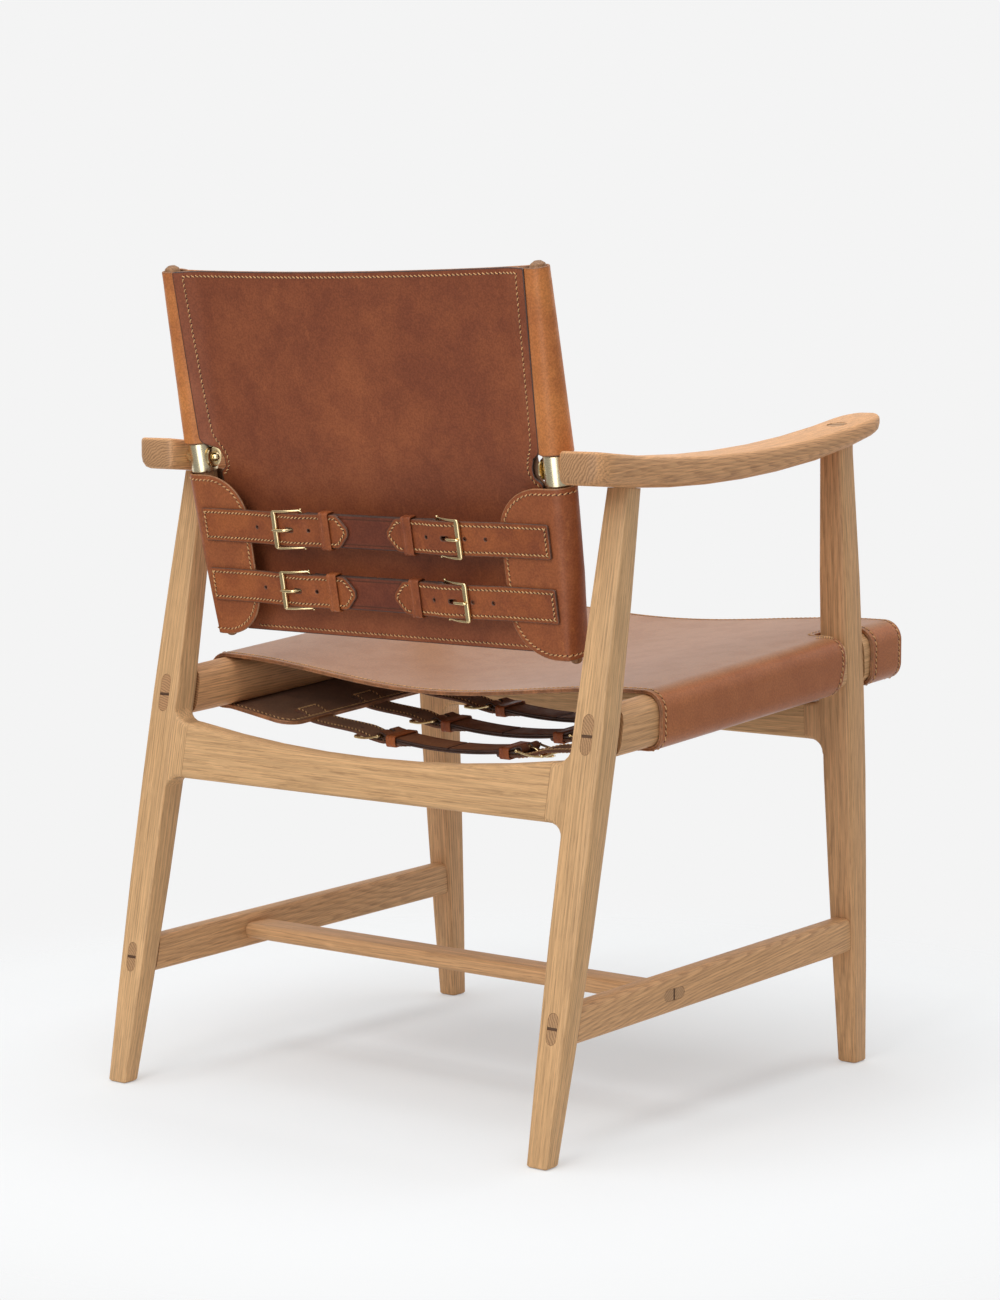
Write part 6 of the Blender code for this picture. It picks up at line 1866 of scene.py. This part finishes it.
@dataclass
class Woodwork:
    """Oak pieces of the fixed frame: each gets its own grain, and shading that runs smoothly across its
    shallow edges.
    """

    nodes: dict[str, bpy.types.Object]
    sharp: float = math.radians(38)

    def dress(self) -> None:
        """Give every wooden piece its finish."""
        plain = (OiledOak.light, OiledOak.dark)
        warm = ((0.70, 0.405, 0.198), (0.42, 0.208, 0.084))
        deep = ((0.75, 0.412, 0.196), (0.42, 0.190, 0.076))
        brown = ((0.36, 0.185, 0.085), (0.22, 0.10, 0.045))
        grain: dict[str, tuple[Run, Triple, tuple[Colour, Colour], Triple]] = {
            "rear_leg_left": (Run.REAR_LEG, (0.20, 0.31, 0), plain, (0.20, 0.004, 0.010)),
            "rear_leg_right": (Run.REAR_LEG, (-0.315, 0.36, 0), plain, (0.17, 0.004, 0.010)),
            "front_leg_left": (Run.FRONT_LEG, (0.35, -0.17, 0), warm, (0.22, 0.004, 0.012)),
            "front_leg_right": (Run.FRONT_LEG, (-0.21, -0.16, 0), warm, (0.22, 0.004, 0.012)),
            "rear_rail": (Run.ACROSS, (0, 0.30, 0.29), plain, (0.20, 0.008, 0.012)),
            "front_rail": (Run.ACROSS, (0, -0.26, 0.30), plain, (0.22, 0.008, 0.012)),
            "side_rail_left": (Run.FORE_AND_AFT, (0.30, 0, 0.33), deep, (0.28, 0.01, 0.012)),
            "side_rail_right": (Run.FORE_AND_AFT, (-0.20, 0, 0.36), warm, (0.26, 0.01, 0.012)),
            "side_stretcher_left": (Run.FORE_AND_AFT, (0.33, 0, 0.09), warm, (0.30, 0.03, 0.018)),
            "side_stretcher_right": (Run.FORE_AND_AFT, (-0.30, 0, 0.16), warm, (0.40, 0.07, 0.014)),
            "centre_stretcher": (Run.ACROSS, (0, 0.14, 0.18), warm, (0.26, 0.01, 0.012)),
            "armrest_left": (Run.FORE_AND_AFT, (0.235, 0, 0.55), deep, (0.28, 0.08, 0.026)),
            "armrest_right": (Run.FORE_AND_AFT, (-0.313, 0, 0.583), deep, (0.30, 0.09, 0.030)),
            "back_post_left": (Run.POST, (0.25, 0.2, 0), brown, (0.25, 0.01, 0.01)),
            "back_post_right": (Run.POST, (-0.19, 0.2, 0), brown, (0.25, 0.01, 0.01)),
        }
        for name, (run, shift, (light, dark), (figure, cone, wild)) in grain.items():
            oak = OiledOak(f"oak_{name}", run.value, shift, light, dark, figure=figure, cone=cone, wild=wild)
            self.finish(self.nodes[name], oak.make())
        wedge = OiledOak("oak_wedge", Run.ACROSS.value, (0, 0.02, 0.02),
                         (0.13, 0.065, 0.032), (0.075, 0.036, 0.018)).make()
        for name, node in self.nodes.items():
            if "wedge" in name:
                self.finish(node, wedge)

    def finish(self, node: bpy.types.Object, finish: bpy.types.Material) -> None:
        """Give one piece its finish and let its faces meet softly.

        Args:
            node: The piece.
            finish: Its finish.
        """
        node.data.materials.clear()
        node.data.materials.append(finish)
        soft = node.modifiers.new("soft_faces", "NODES")
        soft.node_group = self.soft_faces()
        LOG.info("%s is finished as %s", node.name, finish.name)

    def soft_faces(self) -> bpy.types.NodeTree:
        """Nodes that close a faceted solid and shade across its shallow edges.

        Returns:
            The node group.
        """
        found = bpy.data.node_groups.get("soft_faces")
        if found:
            return found
        tree = bpy.data.node_groups.new("soft_faces", "GeometryNodeTree")
        tree.interface.new_socket("Geometry", in_out="INPUT", socket_type="NodeSocketGeometry")
        tree.interface.new_socket("Geometry", in_out="OUTPUT", socket_type="NodeSocketGeometry")
        bench = Bench(tree)
        shape = bench.add("NodeGroupInput").outputs[0]
        shape = bench.add("GeometryNodeRemoveAttribute", Geometry=shape, Name="custom_normal").outputs[0]
        shape = bench.add("GeometryNodeMergeByDistance", Geometry=shape, Distance=0.01 * MM).outputs[0]
        shape = bench.add("GeometryNodeSetShadeSmooth", Geometry=shape, Shade_Smooth=True).outputs[0]
        bend = bench.add("GeometryNodeInputMeshEdgeAngle").outputs["Unsigned Angle"]
        steep = bench.add("FunctionNodeCompare", {"operation": "GREATER_THAN"}, i0=bend, i1=self.sharp)
        shape = bench.add("GeometryNodeSetShadeSmooth", {"domain": "EDGE"}, Geometry=shape,
                          Selection=steep.outputs[0], Shade_Smooth=False).outputs[0]
        bench.add("NodeGroupOutput", i0=shape)
        return tree


# The studio

@dataclass
class Studio:
    """Pale floor, soft light and the camera at the picture's angle."""

    floor_colour: Colour = (0.905, 0.905, 0.905)
    camera_place: Triple = (-1.95750763, 2.50266879, 0.75949342)
    camera_way: Triple = (0.61422101, -0.7822376, -0.10410037)
    lens: float = 87.93
    floor_radius: float = 2.6
    floor_fade: Pair = (0.45, 1.05)
    floor_drop: float = 0.4 * MM
    card_distance: float = 3.6
    card_height: Pair = (-2.6, 2.4)

    def build(self) -> None:
        """Set up the floor, the lights, the surroundings and the camera."""
        self.floor()
        self.surroundings()
        self.lamp("overhead", (0.0, 0.2, 3.2), (0, 0, 0.2), 3.0, 62)
        self.lamp("window", (-0.1, 3.3, 2.2), (0, 0, 0.5), 1.8, 40)
        self.lamp("far_side", (-1.2, -3.0, 1.6), (0, 0, 0.4), 2.0, 10)
        self.card("studio_card_near", 183, 61, 0.34)
        self.card("studio_card_far", 46, 36, 0.28)
        self.card("studio_card_bright", 102, 17, 2.4)
        self.camera()
        bpy.context.scene.view_settings.view_transform = "Standard"

    def floor(self) -> None:
        """Make the floor: a pale disc that keeps the shadow and fades into the surroundings."""
        turns = np.radians(np.arange(0, 360, 5))
        stock = MeshStock()
        stock.add_points(np.stack([np.cos(turns), np.sin(turns), 0 * turns], axis=1) * self.floor_radius)
        stock.add_faces([range(len(turns))])
        r = Recipe("studio_floor")
        fade = r.spread(r.vector("LENGTH", r.place).outputs["Value"], *self.floor_fade)
        clear = r.add("ShaderNodeBsdfTransparent").outputs[0]
        pale = r.add("ShaderNodeEmission", Color=(0.95, 0.95, 0.95), Strength=1.0).outputs[0]
        seen = r.times(r.add("ShaderNodeLightPath").outputs["Is Camera Ray"], 0.34)
        lit = r.add("ShaderNodeMixShader", i0=seen, i1=r.shader.outputs[0], i2=pale).outputs[0]
        under = r.add("ShaderNodeNewGeometry").outputs["Backfacing"]
        mixed = r.add("ShaderNodeMixShader", i0=r.math(fade, under, "MAXIMUM"), i1=lit, i2=clear).outputs[0]
        r.feed(r.tree.nodes["Material Output"].inputs["Surface"], mixed)
        r.done(Base_Color=(0.885, 0.91, 0.925), Roughness=0.9, Specular_IOR_Level=0.0)
        floor = stock.piece("studio_floor", (r.material,))
        floor.location.z = -self.floor_drop

    def surroundings(self) -> None:
        """Make the surroundings: a pale backdrop for the eye, and even light for the chair."""
        world = bpy.data.worlds.new("studio")
        bpy.context.scene.world = world
        world.use_nodes = True
        bench = Bench(world.node_tree)
        path = bench.add("ShaderNodeLightPath").outputs
        seen = bench.math(path["Is Camera Ray"], path["Is Glossy Ray"], "MAXIMUM")
        seen = bench.math(seen, path["Is Transmission Ray"], "MAXIMUM")
        light = bench.add("ShaderNodeBackground", Color=(1.0, 1.0, 1.0), Strength=0.50).outputs[0]
        pale = bench.add("ShaderNodeBackground", Color=self.floor_colour).outputs[0]
        mixed = bench.add("ShaderNodeMixShader", i0=seen, i1=light, i2=pale).outputs[0]
        bench.feed(world.node_tree.nodes["World Output"].inputs["Surface"], mixed)

    def lamp(self, name: str, place: Triple, aim: Triple, size: float, power: float) -> None:
        """Hang a soft square lamp.

        Args:
            name: Name of the lamp.
            place: Where it hangs.
            aim: Where it points.
            size: Length of its side.
            power: Its power in watts.
        """
        light = bpy.data.lights.new(name, "AREA")
        light.size, light.energy = size, power
        lamp = bpy.data.objects.new(name, light)
        lamp.location = place
        lamp.rotation_mode = "QUATERNION"
        lamp.rotation_quaternion = (Vector(aim) - Vector(place)).to_track_quat("-Z", "Y")
        bpy.context.scene.collection.objects.link(lamp)

    def card(self, name: str, bearing: float, half: float, glow: float) -> None:
        """Stand a card beside the chair, which shows only in its gloss.

        Args:
            name: Name of the card.
            bearing: Compass place of the card in degrees, from +X.
            half: How far it reaches to either side, in degrees.
            glow: How brightly it shines, 0 for a dark card.
        """
        stock = MeshStock()
        turns = np.radians(np.linspace(bearing - half, bearing + half, 17))
        reach = self.card_distance
        stock.add_points(np.array([(reach * math.cos(t), reach * math.sin(t), z)
                                   for t in turns for z in self.card_height]))
        stock.add_faces([(k, k + 2, k + 3, k + 1) for k in range(0, 2 * len(turns) - 2, 2)])
        r = Recipe(name)
        cloth = r.mix(r.noise(4), (0.02, 0.02, 0.02), (0.03, 0.03, 0.03))
        light = {"Emission_Color": (1.0, 1.0, 1.0), "Emission_Strength": glow}
        finish = r.done(Base_Color=cloth, Roughness=1.0, **light)
        card = stock.piece(name, (finish,))
        card.visible_camera = card.visible_diffuse = card.visible_shadow = card.visible_transmission = False

    def camera(self) -> None:
        """Set up the camera."""
        data = bpy.data.cameras.new("camera")
        data.sensor_fit, data.sensor_height, data.lens = "VERTICAL", 36, self.lens
        camera = bpy.data.objects.new("camera", data)
        camera.location = self.camera_place
        camera.rotation_mode = "QUATERNION"
        camera.rotation_quaternion = Vector(self.camera_way).to_track_quat("-Z", "Y")
        bpy.context.scene.collection.objects.link(camera)
        bpy.context.scene.camera = camera


def back_straps(done: Finishes, place: Matrix) -> None:
    """Build the two straps that draw the rear flaps together.

    Args:
        done: The finishes.
        place: The back's own frame.
    """
    out = BackSling.flap_out + CLEARANCE + Strap.billet_thick / 2
    roots = [(215.5 * MM, out), (190 * MM, out), (169 * MM, out), (157 * MM, out + 0.1 * MM)]
    heel = 85 * MM
    for name, height in (("upper", -64.5 * MM), ("lower", -125.5 * MM)):
        Strap(f"back_{name}", "backrest", place @ Matrix.Translation((0, 0, height)), done, heel_x=heel,
              heel_out=17 * MM, sag=0.0, roots=roots, tip_x=heel - 60.5 * MM, keeper_x=heel - 33.5 * MM,
              hole_steps=(-1, 1, 2), billet_solid=f"back_{name}_billet_{{side}}").build()


def main() -> None:
    """Build the chair's looks round the fixed frame."""
    logging.basicConfig(level=logging.INFO, format="%(name)s: %(message)s")
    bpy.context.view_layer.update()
    done = Finishes()
    Studio().build()
    Woodwork(frame["nodes"]).dress()
    place = frame_at((0, BOLTS_Y, BOLTS_Z), -RECLINE)
    PivotFittings(done, place).build()
    BackSling(done, place).build()
    back_straps(done, place)
    SeatSling(done).build()


if __name__ == "__main__":
    main()
